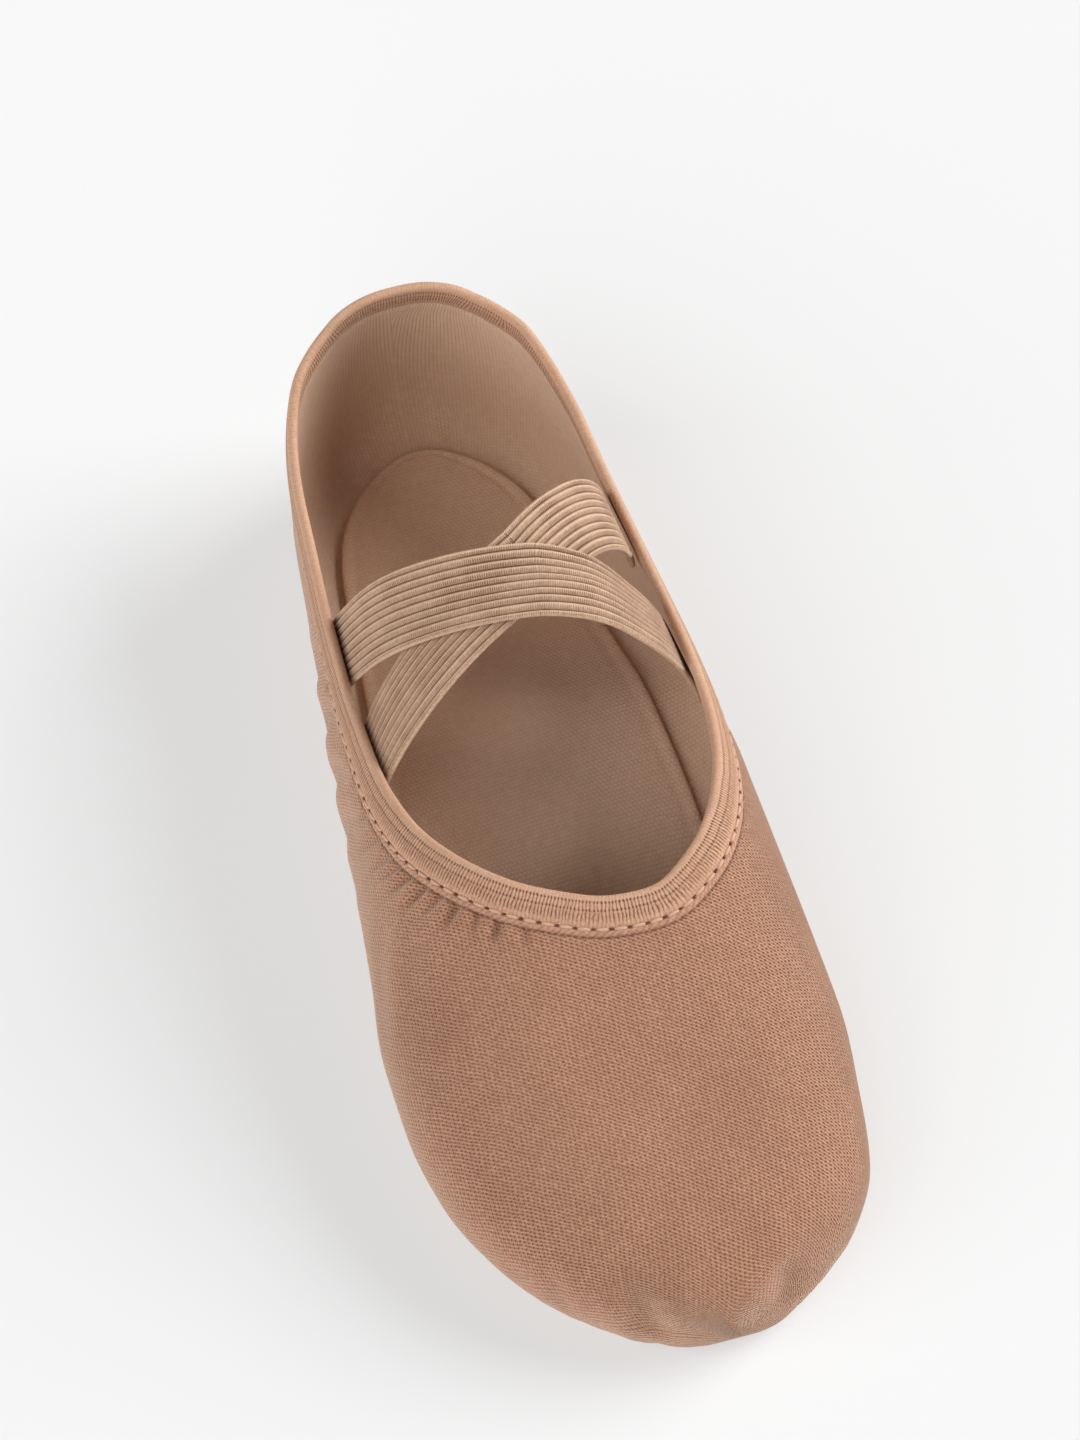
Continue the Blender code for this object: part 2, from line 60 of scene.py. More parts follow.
# Sections of the last: places across are shares of the ball width, rises are shares of the
# instep and heel heights, widest is a share of its own height, arch of the arch lift.
sectionColumns = ("station", "lateral", "medial", "ridge", "instep", "heel", "widest", "arch",
                  "close", "fullness")
sectionTable = (
    (0.0000, 0.061, 0.061, 0.061, 0.000, 0.000, 0.450, 0.00, 1.00, 2.50),
    (0.0033, 0.003, 0.120, 0.067, 0.067, 0.000, 0.450, 0.00, 0.62, 2.50),
    (0.0125, -0.067, 0.187, 0.078, 0.127, 0.000, 0.450, 0.00, 0.25, 2.50),
    (0.0333, -0.172, 0.276, 0.089, 0.187, 0.000, 0.475, 0.00, 0.05, 2.50),
    (0.0667, -0.289, 0.381, 0.100, 0.231, 0.000, 0.500, 0.00, 0.00, 2.50),
    (0.1167, -0.392, 0.456, 0.111, 0.269, 0.000, 0.550, 0.00, 0.00, 2.50),
    (0.1833, -0.467, 0.484, 0.117, 0.313, 0.000, 0.600, 0.00, 0.00, 2.45),
    (0.2500, -0.496, 0.500, 0.117, 0.373, 0.000, 0.650, 0.00, 0.00, 2.40),
    (0.3167, -0.500, 0.494, 0.113, 0.455, 0.000, 0.675, 0.00, 0.00, 2.35),
    (0.3958, -0.476, 0.482, 0.109, 0.560, 0.000, 0.725, 0.00, 0.00, 2.30),
    (0.5000, -0.448, 0.467, 0.100, 0.642, 0.000, 0.800, 0.75, 0.00, 2.15),
    (0.6042, -0.424, 0.441, 0.089, 0.739, 0.000, 0.875, 1.00, 0.00, 1.95),
    (0.6875, -0.400, 0.410, 0.067, 0.500, 0.383, 0.925, 0.55, 0.00, 1.90),
    (0.7708, -0.374, 0.378, 0.033, 0.250, 0.796, 0.975, 0.00, 0.00, 1.95),
    (0.8542, -0.350, 0.350, 0.011, 0.000, 1.150, 1.000, 0.00, 0.00, 2.10),
    (0.9167, -0.305, 0.305, 0.000, 0.000, 1.117, 1.000, 0.00, 0.02, 2.25),
    (0.9583, -0.228, 0.228, 0.000, 0.000, 0.800, 1.000, 0.00, 0.11, 2.20),
    (0.9833, -0.145, 0.145, 0.000, 0.000, 0.450, 1.000, 0.00, 0.38, 2.20),
    (0.9967, -0.065, 0.065, 0.000, 0.000, 0.183, 1.000, 0.00, 0.70, 2.20),
    (1.0000, 0.000, 0.000, 0.000, 0.000, 0.000, 1.000, 0.00, 1.00, 2.30),
)

# Height of the collar edge on each section, as a share of the rise above the widest line
collarColumns = ("station", "height")
collarTable = (
    (0.3375, 1.000),
    (0.3500, 0.983),
    (0.3750, 0.930),
    (0.4083, 0.850),
    (0.4667, 0.705),
    (0.5417, 0.555),
    (0.6250, 0.445),
    (0.7292, 0.359),
    (0.8125, 0.332),
    (0.8542, 0.346),
    (0.8750, 0.363),
    (0.9083, 0.418),
    (0.9333, 0.498),
    (0.9542, 0.672),
    (0.9660, 0.860),
    (0.9720, 1.000),
)

# Which share of the collar edge faces which share of the outline, from the toe to the heel
facingColumns = ("outline", "collar")
facingTable = ((0.00, 0.00), (0.18, 0.04), (0.36, 0.12), (0.50, 0.27), (0.65, 0.52),
               (0.80, 0.76), (1.00, 1.00))


def smoothCurve(places, values):
    # monotone cubic through the given points, so that it never overshoots them
    steps = np.diff(places)
    slopes = np.diff(values) / steps
    tangents = np.zeros_like(values)
    tangents[0] = slopes[0]
    tangents[-1] = slopes[-1]
    for i in range(1, len(values) - 1):
        if slopes[i - 1] * slopes[i] > 0:
            first = 2 * steps[i] + steps[i - 1]
            second = steps[i] + 2 * steps[i - 1]
            tangents[i] = (first + second) / (first / slopes[i - 1] + second / slopes[i])

    def curve(at):
        at = np.asarray(at, float)
        i = np.clip(np.searchsorted(places, at, side="right") - 1, 0, len(places) - 2)
        t = (at - places[i]) / steps[i]
        start = values[i] * (1 + 2 * t) * (1 - t) ** 2 + steps[i] * tangents[i] * t * (1 - t) ** 2
        end = values[i + 1] * t * t * (3 - 2 * t) + steps[i] * tangents[i + 1] * t * t * (t - 1)
        return start + end

    return curve


def tableCurves(columns, rows, warp=lambda share: share):
    table = np.array(rows, float)
    places = warp(table[:, 0])
    return {name: smoothCurve(places, table[:, i]) for i, name in enumerate(columns) if i}


def turn(share):
    # share of the length as an angle, so that sections crowd towards the two round ends
    return np.arccos(np.clip(1 - 2 * np.asarray(share, float), -1, 1))


sectionCurves = tableCurves(sectionColumns, sectionTable, turn)
collarCurves = tableCurves(collarColumns, collarTable)
facingCurves = tableCurves(facingColumns, facingTable)


def section(share):
    angle = turn(share)
    found = {name: curve(angle) for name, curve in sectionCurves.items()}
    for name in ("lateral", "medial", "ridge"):
        found[name] = found[name] * shoe["ballWidth"]
    found["widest"] = found["widest"] * shoe["widestHeight"]
    found["rise"] = (found["instep"] * shoe["instepHeight"]
                     + found["heel"] * shoe["heelHeight"])
    found["middle"] = (found["medial"] + found["lateral"]) / 2
    found["half"] = (found["medial"] - found["lateral"]) / 2
    return found


def smoothStep(t):
    t = np.clip(t, 0, 1)
    return t * t * (3 - 2 * t)


def bell(offset, width):
    return np.exp(-(offset / width) ** 2)


def unit(vectors):
    return vectors / np.linalg.norm(vectors, axis=-1, keepdims=True)


def along(share):
    return (np.asarray(share, float) - 0.5) * shoe["length"]


def shareAt(y):
    return y / shoe["length"] + 0.5


def sideWidth(cut, off):
    # width of a section from its ridge out, on the side that off lies on
    return np.where(off > 0, cut["medial"] - cut["ridge"], cut["ridge"] - cut["lateral"])


def lastPoint(angle, around):
    # around is 0 on the inner side, a quarter turn on the ridge and a half turn on the outer side
    share = (1 - np.cos(angle)) / 2
    cut = section(share)
    side = np.cos(around)
    up = np.sin(around)
    power = cut["fullness"]
    reach = (np.abs(side) ** power + np.abs(up) ** power) ** (-1 / power)
    x = cut["ridge"] + sideWidth(cut, side) * side * reach
    return np.stack([x, along(share) + 0 * x, cut["widest"] + cut["rise"] * up * reach], -1)


def lastFrame(angle, around):
    # point, the two surface tangents and the outward normal
    step = 1e-4
    alongTangent = (lastPoint(angle + step, around) - lastPoint(angle - step, around)) / (2 * step)
    aroundTangent = (lastPoint(angle, around + step) - lastPoint(angle, around - step)) / (2 * step)
    normal = unit(np.cross(alongTangent, aroundTangent))
    return lastPoint(angle, around), alongTangent, aroundTangent, normal


def walkSurface(angle, around, direction, distances):
    # points and normals met on the last when walking from each start in a straight line
    angle = np.array(angle, float)
    around = np.array(around, float)
    walked = 0.0
    found = {}
    for distance in sorted(distances, key=abs):
        remaining = distance - walked
        count = max(1, math.ceil(abs(remaining) / shoe["walkStep"]))
        for _ in range(count):
            _, alongTangent, aroundTangent, normal = lastFrame(angle, around)
            flat = direction - normal * np.sum(direction * normal, -1, keepdims=True)
            flat *= (remaining / count) / np.linalg.norm(flat, axis=-1, keepdims=True)
            aa = np.sum(alongTangent ** 2, -1)
            bb = np.sum(aroundTangent ** 2, -1)
            ab = np.sum(alongTangent * aroundTangent, -1)
            fa = np.sum(flat * alongTangent, -1)
            fb = np.sum(flat * aroundTangent, -1)
            spread = aa * bb - ab ** 2
            angle += (fa * bb - fb * ab) / spread
            around += (fb * aa - fa * ab) / spread
        walked = distance
        point, _, _, normal = lastFrame(angle, around)
        found[distance] = (point, normal)
    return found


def topHeight(x, share):
    cut = section(share)
    off = x - cut["ridge"]
    across = np.clip(np.abs(off) / np.maximum(sideWidth(cut, off), 1e-9), 0, 1)
    return cut["widest"] + cut["rise"] * (1 - across ** cut["fullness"]) ** (1 / cut["fullness"])


def underHeight(x, share):
    cut = section(share)
    across = np.clip(np.abs(x - cut["middle"]) / np.maximum(cut["half"], 1e-9), 0, 1)
    inner = np.clip((x - cut["lateral"]) / np.maximum(cut["medial"] - cut["lateral"], 1e-9), 0, 1)
    lift = shoe["archLateral"] + (shoe["archMedial"] - shoe["archLateral"]) * smoothStep(inner)
    floor = shoe["canvasBase"]
    base = floor + lift * cut["arch"] + cut["close"] * (cut["widest"] - floor)
    roll = np.clip((across - shoe["flatShare"]) / (1 - shoe["flatShare"]), 0, 1)
    return cut["widest"] - (cut["widest"] - base) * np.sqrt(1 - roll ** 2)


def lengthsOf(points):
    steps = np.linalg.norm(np.diff(points, axis=0), axis=1)
    return np.concatenate([[0], np.cumsum(steps)])


def readAt(points, lengths, wanted):
    return np.stack([np.interp(wanted, lengths, column) for column in points.T], 1)


def evenly(points, shares):
    lengths = lengthsOf(points)
    return readAt(points, lengths, np.asarray(shares) * lengths[-1])


def closed(points):
    return np.concatenate([points, points[:1]])


def thereAndBack(front, back):
    # rows down one side of a sheet and up the other
    return np.concatenate([front, back[:, ::-1]], axis=1)


def runningLength(grid, axis):
    # length run along one axis of a grid of points
    steps = np.linalg.norm(np.diff(grid, axis=axis), axis=2)
    start = np.zeros_like(np.take(steps, [0], axis=axis))
    return np.concatenate([start, np.cumsum(steps, axis=axis)], axis=axis)


def collarSide(side, shares):
    # angle, around and length of the collar edge at shares of its length, from throat to heel
    t = (1 - np.cos(np.linspace(0, np.pi, 400))) / 2
    start = collarTable[0][0]
    share = start + (collarTable[-1][0] - start) * t
    height = np.clip(collarCurves["height"](share), 0, 1)
    power = section(share)["fullness"]
    across = (1 - height ** power) ** (1 / power)
    around = np.arctan2(height, side * across)
    angle = turn(share)
    lengths = lengthsOf(lastPoint(angle, around))
    wanted = np.asarray(shares) * lengths[-1]
    return np.interp(wanted, lengths, angle), np.interp(wanted, lengths, around), wanted


def outlineSide(side, shares):
    station = (1 - np.cos(np.linspace(0, np.pi, 600))) / 2
    cut = section(station)
    x = cut["medial"] if side > 0 else cut["lateral"]
    return evenly(np.stack([x, station * shoe["length"]], 1), shares)


def ring(medial, lateral):
    # both sides joined into one loop: toe, inner side, heel, outer side
    return np.concatenate([medial, lateral[-2:0:-1]])


def collarRing(shares):
    # the loop's angle and around, and its place along the collar: positive on the inner side
    medialAngle, medialAround, medialLength = collarSide(1, shares)
    lateralAngle, lateralAround, lateralLength = collarSide(-1, shares)
    return (ring(medialAngle, lateralAngle), ring(medialAround, lateralAround),
            ring(medialLength, -lateralLength))


def collarLength():
    return sum(collarSide(side, [0.0, 1.0])[2][1] for side in (1, -1))


def collarDown(angle, around):
    # direction on the surface, square to the collar edge and away from the opening
    point, _, _, normal = lastFrame(angle, around)
    tangent = unit(np.roll(point, -1, axis=0) - np.roll(point, 1, axis=0))
    return np.cross(tangent, normal), tangent


def linear(red, green, blue):
    # colour as seen on a screen, 0 to 255, turned into shader values
    return tuple((c / 255 / 12.92) if c <= 10 else ((c / 255 + 0.055) / 1.055) ** 2.4
                 for c in (red, green, blue)) + (1.0,)


def mathStep(operation, reflected=False):
    # an operator of a value: one math node on it and the other terms
    def step(self, *others):
        terms = (*others, self) if reflected else (self, *others)
        return self.tree.node("ShaderNodeMath", {"operation": operation}, dict(enumerate(terms)))

    return step


class Value:
    # a socket that can be used in Python expressions
    __add__, __radd__ = mathStep("ADD"), mathStep("ADD", True)
    __sub__, __rsub__ = mathStep("SUBTRACT"), mathStep("SUBTRACT", True)
    __mul__, __rmul__ = mathStep("MULTIPLY"), mathStep("MULTIPLY", True)
    __pow__, __mod__, __abs__ = map(mathStep, ("POWER", "FLOORED_MODULO", "ABSOLUTE"))
    sine, floor = map(mathStep, ("SINE", "FLOOR"))
    above, below = map(mathStep, ("GREATER_THAN", "LESS_THAN"))
    atLeast, atMost = map(mathStep, ("MAXIMUM", "MINIMUM"))

    def __init__(self, tree, socket):
        self.tree = tree
        self.socket = socket


class Finish:
    # one material's node tree, with a single way to add any node
    def __init__(self, name, base, roughness, sheen=0.0, sheenRoughness=0.5,
                 sheenTint=(1.0, 1.0, 1.0, 1.0)):
        self.material = bpy.data.materials.new(name)
        self.material.use_nodes = True
        self.material.diffuse_color = base
        self.tree = self.material.node_tree
        self.shader = self.tree.nodes["Principled BSDF"]
        for key, value in {"Base Color": base, "Roughness": roughness, "Sheen Weight": sheen,
                           "Sheen Roughness": sheenRoughness, "Sheen Tint": sheenTint,
                           "Specular IOR Level": 0.25}.items():
            self.drive(key, value)

    def put(self, socket, value):
        if isinstance(value, Value):
            self.tree.links.new(value.socket, socket)
        else:
            socket.default_value = value

    def drive(self, key, value):
        self.put(self.shader.inputs[key], value)

    def node(self, kind, settings=None, inputs=None, output=0):
        made = self.tree.nodes.new(kind)
        for key, value in (settings or {}).items():
            setattr(made, key, value)
        for key, value in (inputs or {}).items():
            self.put(made.inputs[key], value)
        return Value(self, made.outputs[output])

    def place(self, layer):
        # a layer of cloth coordinates in metres
        uv = self.node("ShaderNodeUVMap", {"uv_map": layer})
        first = self.node("ShaderNodeSeparateXYZ", {}, {0: uv})
        return first, Value(self, first.socket.node.outputs[1])

    def noise(self, size, detail=3.0, roughness=0.55, stretch=None):
        spot = self.node("ShaderNodeTexCoord", output=3)
        if stretch:
            spot = self.node("ShaderNodeMapping", {}, {"Vector": spot, "Scale": stretch})
        return self.node("ShaderNodeTexNoise", {"noise_dimensions": "3D"},
                         {"Vector": spot, "Scale": 1 / size, "Detail": detail,
                          "Roughness": roughness})

    def mix(self, share, first, second):
        return self.node("ShaderNodeMix", {"data_type": "RGBA"}, {0: share, 6: first, 7: second},
                         output=2)

    def bump(self, height, distance, strength, **under):
        return self.node("ShaderNodeBump", {}, {"Height": height, "Distance": distance,
                                                "Strength": strength, **under})


def show(name, data):
    thing = bpy.data.objects.new(name, data)
    bpy.context.scene.collection.objects.link(thing)
    return thing


def gridMesh(name, points, closeColumns, closeRows, layers, materials, slotOf=None, skip=None):
    # a mesh from columns of points; layers hold cloth coordinates, with one column more where
    # they run on past the closing column, or as a pair: those at the near and those at the far
    # side of each face column
    columns, rows = points.shape[:2]
    columnCount = columns if closeColumns else columns - 1
    rowCount = rows if closeRows else rows - 1
    i, j = np.meshgrid(np.arange(columnCount), np.arange(rowCount), indexing="ij")
    keep = np.ones(i.shape, bool) if skip is None else ~skip(i, j)
    i = i[keep]
    j = j[keep]
    right = (i + 1) % columns
    below = (j + 1) % rows
    faces = np.stack([i * rows + j, i * rows + below, right * rows + below, right * rows + j], 1)
    mesh = bpy.data.meshes.new(name)
    mesh.vertices.add(columns * rows)
    mesh.vertices.foreach_set("co", points.reshape(-1).astype(np.float32))
    mesh.loops.add(faces.size)
    mesh.loops.foreach_set("vertex_index", faces.reshape(-1).astype(np.int32))
    mesh.polygons.add(len(faces))
    mesh.polygons.foreach_set("loop_start", np.arange(0, faces.size, 4, dtype=np.int32))
    mesh.polygons.foreach_set("use_smooth", np.ones(len(faces), bool))
    for material in materials:
        mesh.materials.append(material)
    if slotOf is not None:
        mesh.polygons.foreach_set("material_index", slotOf(i, j).astype(np.int32))
    for layer, grid in layers.items():
        near, far = grid if isinstance(grid, tuple) else (grid, np.roll(grid, -1, axis=0))
        uv = np.stack([near[i, j], near[i, below], far[i, below], far[i, j]], 1)
        mesh.uv_layers.new(name=layer).data.foreach_set("uv", uv.reshape(-1).astype(np.float32))
    mesh.update(calc_edges=True)
    mesh.validate()
    return show(name, mesh)


def gridNormals(points):
    # outward normals of a grid whose columns close into a ring
    acrossColumns = np.roll(points, -1, axis=0) - np.roll(points, 1, axis=0)
    normal = np.cross(np.gradient(points, axis=1), acrossColumns)
    return normal / np.maximum(np.linalg.norm(normal, axis=2, keepdims=True), 1e-12)


def attach(thing, *nodes, slot):
    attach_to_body(thing, "root")
    if nodes:
        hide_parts(*nodes)


# Upper: stretch canvas
canvas = {
    "wall": 0.0012,
    "bindingWidth": 0.0066,
    "start": 0.0058,  # the canvas runs up inside the folded binding
    # distances of the rows over the seam ridge and the gathers, from the top of the canvas
    "fineRows": (0.0, 0.5, 0.9, 1.1, 1.3, 1.5, 1.7, 1.9, 2.1, 2.3, 2.5, 2.7, 2.9, 3.1, 3.3, 3.6,
                 4.0, 4.5, 5.0, 5.5, 6.0, 6.6),
    "fineReach": 0.0072,
    "wallRows": 42,
    "rollRows": 24,
    "levelRows": 8,
    "rowEase": 2.4,  # samples of a column gather at the widest line, where it is steep
    "levelClose": 0.04,  # share drawn up at the two ends that still counts as level
    "stitchRow": 0.00045,  # below the binding
    "seamRidge": 0.00036,  # height of the sewn ridge below the stitches
    "seamRidgeWidth": 0.00140,
    "stitchPitch": 0.0036,
    "seamReach": 0.026,  # how far down distances from the seam are measured
    "pinch": 0.22,  # share of the ridge's height lost at a stitch
    "pucker": 0.00013,
    "puckerAt": 0.0029,  # below the binding
    "liningRelief": 0.6,  # share of the outside relief that shows inside
    "liningEvery": 3,  # outer rows to one row of the lining
    "heelEase": 0.12,  # outline share over which the columns turn square at the heel
    # gathers: where they start below the binding, how they fade, and the banks beside them
    "gatherStart": 0.0012,
    "gatherEase": 0.0016,
    "gatherTail": 0.003,
    "gatherBank": 0.55,
    "gatherBankAt": 1.7,
    # creases: shares of their length over which they fade, their banks, and the band below the
    # binding over which they fade in
    "creaseFades": (0.35, 0.25),
    "creaseBankAt": 1.9,
    "creaseStart": 0.0012,
    "creaseEase": 0.0032,
    "foldDepth": 0.0006,  # depth at which a fold has its full shade
    # pleats: the share of the widest height where they start, and over which they deepen
    "pleatStart": 0.66,
    "pleatEase": 0.40,
    "clothTurn": 0.62,  # outline share from which the cloth runs round the heel
    "clothEase": 0.42,  # and from which the cloth underneath begins to turn that way
    # the weave: its two repeats a millimetre, each as across and along the foot
    "weaveFirst": (1.076, -0.072),
    "weaveSecond": (-0.204, 1.296),
    "wrapPitch": 0.0012,  # slanting wraps of thread on the sewn ridge
    "colour": linear(166, 119, 93),
    "dark": linear(148, 103, 78),
    "deep": linear(106, 67, 48),
    "light": linear(203, 156, 127),
    "ridge": linear(196, 154, 128),
}

# Gathers where the elastic draws the canvas in: place along the collar from the throat,
# negative on the outer side, then length, width, depth and lean, in millimetres.
gatherColumns = ("place", "length", "width", "depth", "lean")
gathers = (
    (-16.0, 3.0, 0.8, 0.16, 0.1),
    (-20.5, 3.8, 0.8, 0.48, 0.1),
    (-25.0, 4.8, 0.9, 0.95, 0.0),
    (-29.2, 4.0, 0.8, 0.55, 0.1),
    (-33.2, 6.6, 1.0, 1.20, -0.1),
    (-36.8, 4.8, 0.8, 0.75, -0.2),
    (-40.4, 7.4, 1.0, 1.20, -0.3),
    (-44.2, 7.0, 1.0, 0.95, -0.5),
    (-47.8, 6.4, 0.9, 0.65, -0.5),
    (-51.0, 7.0, 1.1, 0.45, -0.5),
    (-56.5, 8.0, 1.2, 0.42, -0.6),
    (-63.0, 8.0, 1.3, 0.36, -0.6),
    (-70.0, 8.0, 1.4, 0.30, -0.5),
    (24.0, 3.6, 1.0, 0.20, 0.2),
    (31.0, 4.4, 1.1, 0.24, 0.3),
    (40.0, 5.0, 1.2, 0.24, 0.4),
    (50.0, 6.0, 1.3, 0.26, 0.4),
    (62.0, 6.0, 1.3, 0.22, 0.4),
)

# Soft creases on the worn canvas: station and degrees around of three points, then width and
# depth in millimetres, and the share of the depth that is raised on each side. The one with a
# negative depth is a low rise.
creases = (
    (0.600, 158, 0.640, 170, 0.668, 184, 3.0, 0.95, 0.5),
    (0.548, 160, 0.588, 172, 0.606, 186, 2.4, 0.60, 0.5),
    (0.505, 158, 0.536, 170, 0.548, 186, 2.8, 0.50, 0.5),
    (0.470, 156, 0.485, 168, 0.495, 184, 2.4, 0.25, 0.4),
    (0.655, 160, 0.700, 172, 0.720, 184, 3.4, 0.60, 0.4),
    (0.430, 150, 0.370, 160, 0.300, 166, 3.6, 0.34, 0.4),
    (0.400, 140, 0.340, 146, 0.280, 150, 3.4, 0.24, 0.4),
    (0.460, 38, 0.520, 24, 0.560, 8, 4.0, 0.40, 0.3),
    (0.560, 28, 0.620, 16, 0.650, 2, 4.0, 0.55, 0.3),
    (0.640, 26, 0.700, 14, 0.725, 0, 4.0, 0.45, 0.3),
    (0.800, 30, 0.840, 14, 0.850, 0, 4.5, 0.40, 0.3),
    (0.790, 152, 0.835, 166, 0.850, 180, 4.5, 0.40, 0.3),
    (0.085, 148, 0.068, 164, 0.060, 190, 2.4, 0.45, 0.4),
    (0.044, 132, 0.026, 148, 0.014, 190, 3.4, 1.10, 0.5),
    (0.036, 56, 0.020, 40, 0.012, 4, 4.4, 1.30, 0.4),
    (0.062, 40, 0.034, 26, 0.026, 6, 5.0, 0.70, 0.2),
    (0.215, 104, 0.120, 110, 0.050, 128, 5.0, -0.30, 0.0),
)

# Pleats where the canvas turns in under the toe and the heel: outline share covered to each side
# of the middle, then count, depth and how sharp they are.
pleats = (
    {"reach": 0.235, "heel": False, "count": 17, "depth": 0.0006, "sharpness": 2.2},
    {"reach": 0.150, "heel": True, "count": 11, "depth": 0.0005, "sharpness": 2.2},
)

solePads = {
    "forefoot_sole": {"middle": 0.2170, "halfLength": 0.1730, "halfWidth": 0.390, "power": 2.5},
    "heel_sole": {"middle": 0.8640, "halfLength": 0.0850, "halfWidth": 0.235, "power": 2.3},
}
soleLap = 0.0065  # how far the canvas reaches in under each pad's outline
# outline shares over which the columns stop fanning out from the toe and turn square
toeFanEnd = (0.30, 0.50)


def padOutline(pad, inset, turns):
    # plan outline of a sole pad, at angles from its toe end, positive towards the inner side
    halfLength = pad["halfLength"] * shoe["length"] - inset
    halfWidth = pad["halfWidth"] * shoe["ballWidth"] - inset
    power = pad["power"]
    reach = (np.abs(np.cos(turns)) ** power + np.abs(np.sin(turns)) ** power) ** (-1 / power)
    station = pad["middle"] * shoe["length"] - halfLength * np.cos(turns) * reach
    middle = section(station / shoe["length"])["middle"]
    return np.stack([middle + halfWidth * np.sin(turns) * reach, station], -1)


def undersideEdge(side, stations):
    # where each wall column ends below: round the two openings, and on a centre seam in the waist
    front = solePads["forefoot_sole"]
    back = solePads["heel_sole"]
    inFront = np.flatnonzero(stations < (front["middle"] + front["halfLength"]) * shoe["length"])
    inBack = np.flatnonzero(stations > (back["middle"] - back["halfLength"]) * shoe["length"])
    seamStart = padOutline(front, soleLap, np.array([np.pi]))[0]
    seamEnd = padOutline(back, soleLap, np.array([0.0]))[0]
    edge = np.zeros((len(stations), 2))
    edge[inFront] = padOutline(front, soleLap, side * np.linspace(0, np.pi, len(inFront)))
    edge[inBack] = padOutline(back, soleLap, side * np.linspace(0, np.pi, len(inBack)))
    waist = np.arange(inFront[-1], inBack[0] + 1)
    t = np.linspace(0, 1, len(waist))[:, None]
    edge[waist] = seamStart + (seamEnd - seamStart) * t
    onSeam = np.zeros(len(stations), bool)
    onSeam[waist] = True
    return edge, onSeam


def wallColumn(top, widest, bottom, side, toWaist):
    # one column of the canvas: down to the widest line, then in underneath
    t = np.linspace(0, 1, 160)
    ease = (1 - (1 - t) ** canvas["rowEase"])[:, None]
    plan = top[:2] + (widest - top[:2]) * ease
    cut = section(shareAt(plan[:, 1]))
    half = sideWidth(cut, side)
    startAcross = side * (plan[0, 0] - cut["ridge"][0]) / half[0]
    across = startAcross + (1 - startAcross) * ease[:, 0]
    plan[:, 0] += (cut["ridge"] + side * half * across - plan[:, 0]) * toWaist
    upper = np.column_stack([plan, topHeight(plan[:, 0], shareAt(plan[:, 1]))])
    upper[-1] = *widest, section(shareAt(widest[1]))["widest"]
    plan = widest + (bottom - widest) * (t ** canvas["rowEase"])[:, None]
    share = shareAt(plan[:, 1])
    lower = np.column_stack([plan, underHeight(plan[:, 0], share)])
    lower[0] = upper[-1]
    cut = section(share)
    isFlat = np.abs(plan[:, 0] - cut["middle"]) < shoe["flatShare"] * cut["half"]
    isLevel = isFlat & (cut["close"] < canvas["levelClose"])
    isLevel[-2:] = True
    turnsLevel = np.argmax(isLevel)
    length = lengthsOf(upper)[-1]
    fine = np.array(canvas["fineRows"]) / 1000 / length
    coarse = np.linspace(canvas["fineReach"] / length, 1, canvas["wallRows"] + 1)
    return np.concatenate([
        evenly(upper, np.concatenate([fine, coarse])),
        evenly(lower[:turnsLevel + 1], np.linspace(0, 1, canvas["rollRows"] + 1))[1:],
        evenly(lower[turnsLevel:], np.linspace(0, 1, canvas["levelRows"] + 1))[1:]])


def distanceToPath(points, path):
    # distance to a polyline and the share of its length at the nearest point
    best = np.full(points.shape[:-1], 9.0)
    share = np.zeros(points.shape[:-1])
    lengths = lengthsOf(path)
    for i in range(len(path) - 1):
        a, b = path[i], path[i + 1]
        run = b - a
        t = np.clip(((points - a) @ run) / (run @ run), 0, 1)
        distance = np.linalg.norm(points - (a + t[..., None] * run), axis=-1)
        nearer = distance < best
        best = np.where(nearer, distance, best)
        share = np.where(nearer, (lengths[i] + t * (lengths[i + 1] - lengths[i])) / lengths[-1],
                         share)
    return best, share


def creaseDepth(points):
    depth = np.zeros(points.shape[:-1])
    fine = np.linspace(0, 1, 12)
    fadeIn, fadeOut = canvas["creaseFades"]
    for *path, width, height, bank in creases:
        stations, degrees = path[0::2], path[1::2]
        t = np.linspace(0, 1, len(stations))
        line = lastPoint(turn(np.interp(fine, t, stations)), np.interp(fine, t, np.radians(degrees)))
        width = width / 1000
        distance, share = distanceToPath(points, line)
        fade = smoothStep(share / fadeIn) * smoothStep((1 - share) / fadeOut)
        raised = bank * bell(distance - canvas["creaseBankAt"] * width, width)
        depth += height / 1000 * fade * (raised - bell(distance, width))
    return depth


def gatherDepth(place, down):
    # place along the collar and distance below the binding, both in metres
    depth = np.zeros(place.shape)
    shallow = smoothStep((down - canvas["gatherStart"]) / canvas["gatherEase"])
    for row in gathers:
        gather = dict(zip(gatherColumns, row))
        width = gather["width"] / 1000
        length = gather["length"] / 1000
        offset = place - gather["place"] / 1000 - gather["lean"] * down
        fade = shallow * smoothStep((length + canvas["gatherTail"] - down) / length)
        banks = canvas["gatherBank"] * bell(np.abs(offset) - canvas["gatherBankAt"] * width, width)
        depth += gather["depth"] / 1000 * fade * (banks - bell(offset, width))
    return depth


def seamPlaces(outer, fallen, collar, place):
    # place along the collar and distance below the binding of every point, square to the collar
    # edge because a column meets it at a slant, and the length round the collar
    loop = closed(collar)
    total = lengthsOf(loop)[-1]
    near = fallen < canvas["seamReach"]
    away = np.full(fallen.shape, 9.0)
    placeAt = np.repeat(place[:, None], fallen.shape[1], axis=1)
    away[near], share = distanceToPath(outer[near], loop)
    run = share * total
    placeAt[near] = np.where(run > place.max(), run - total, run)
    return placeAt, away - canvas["bindingWidth"], total


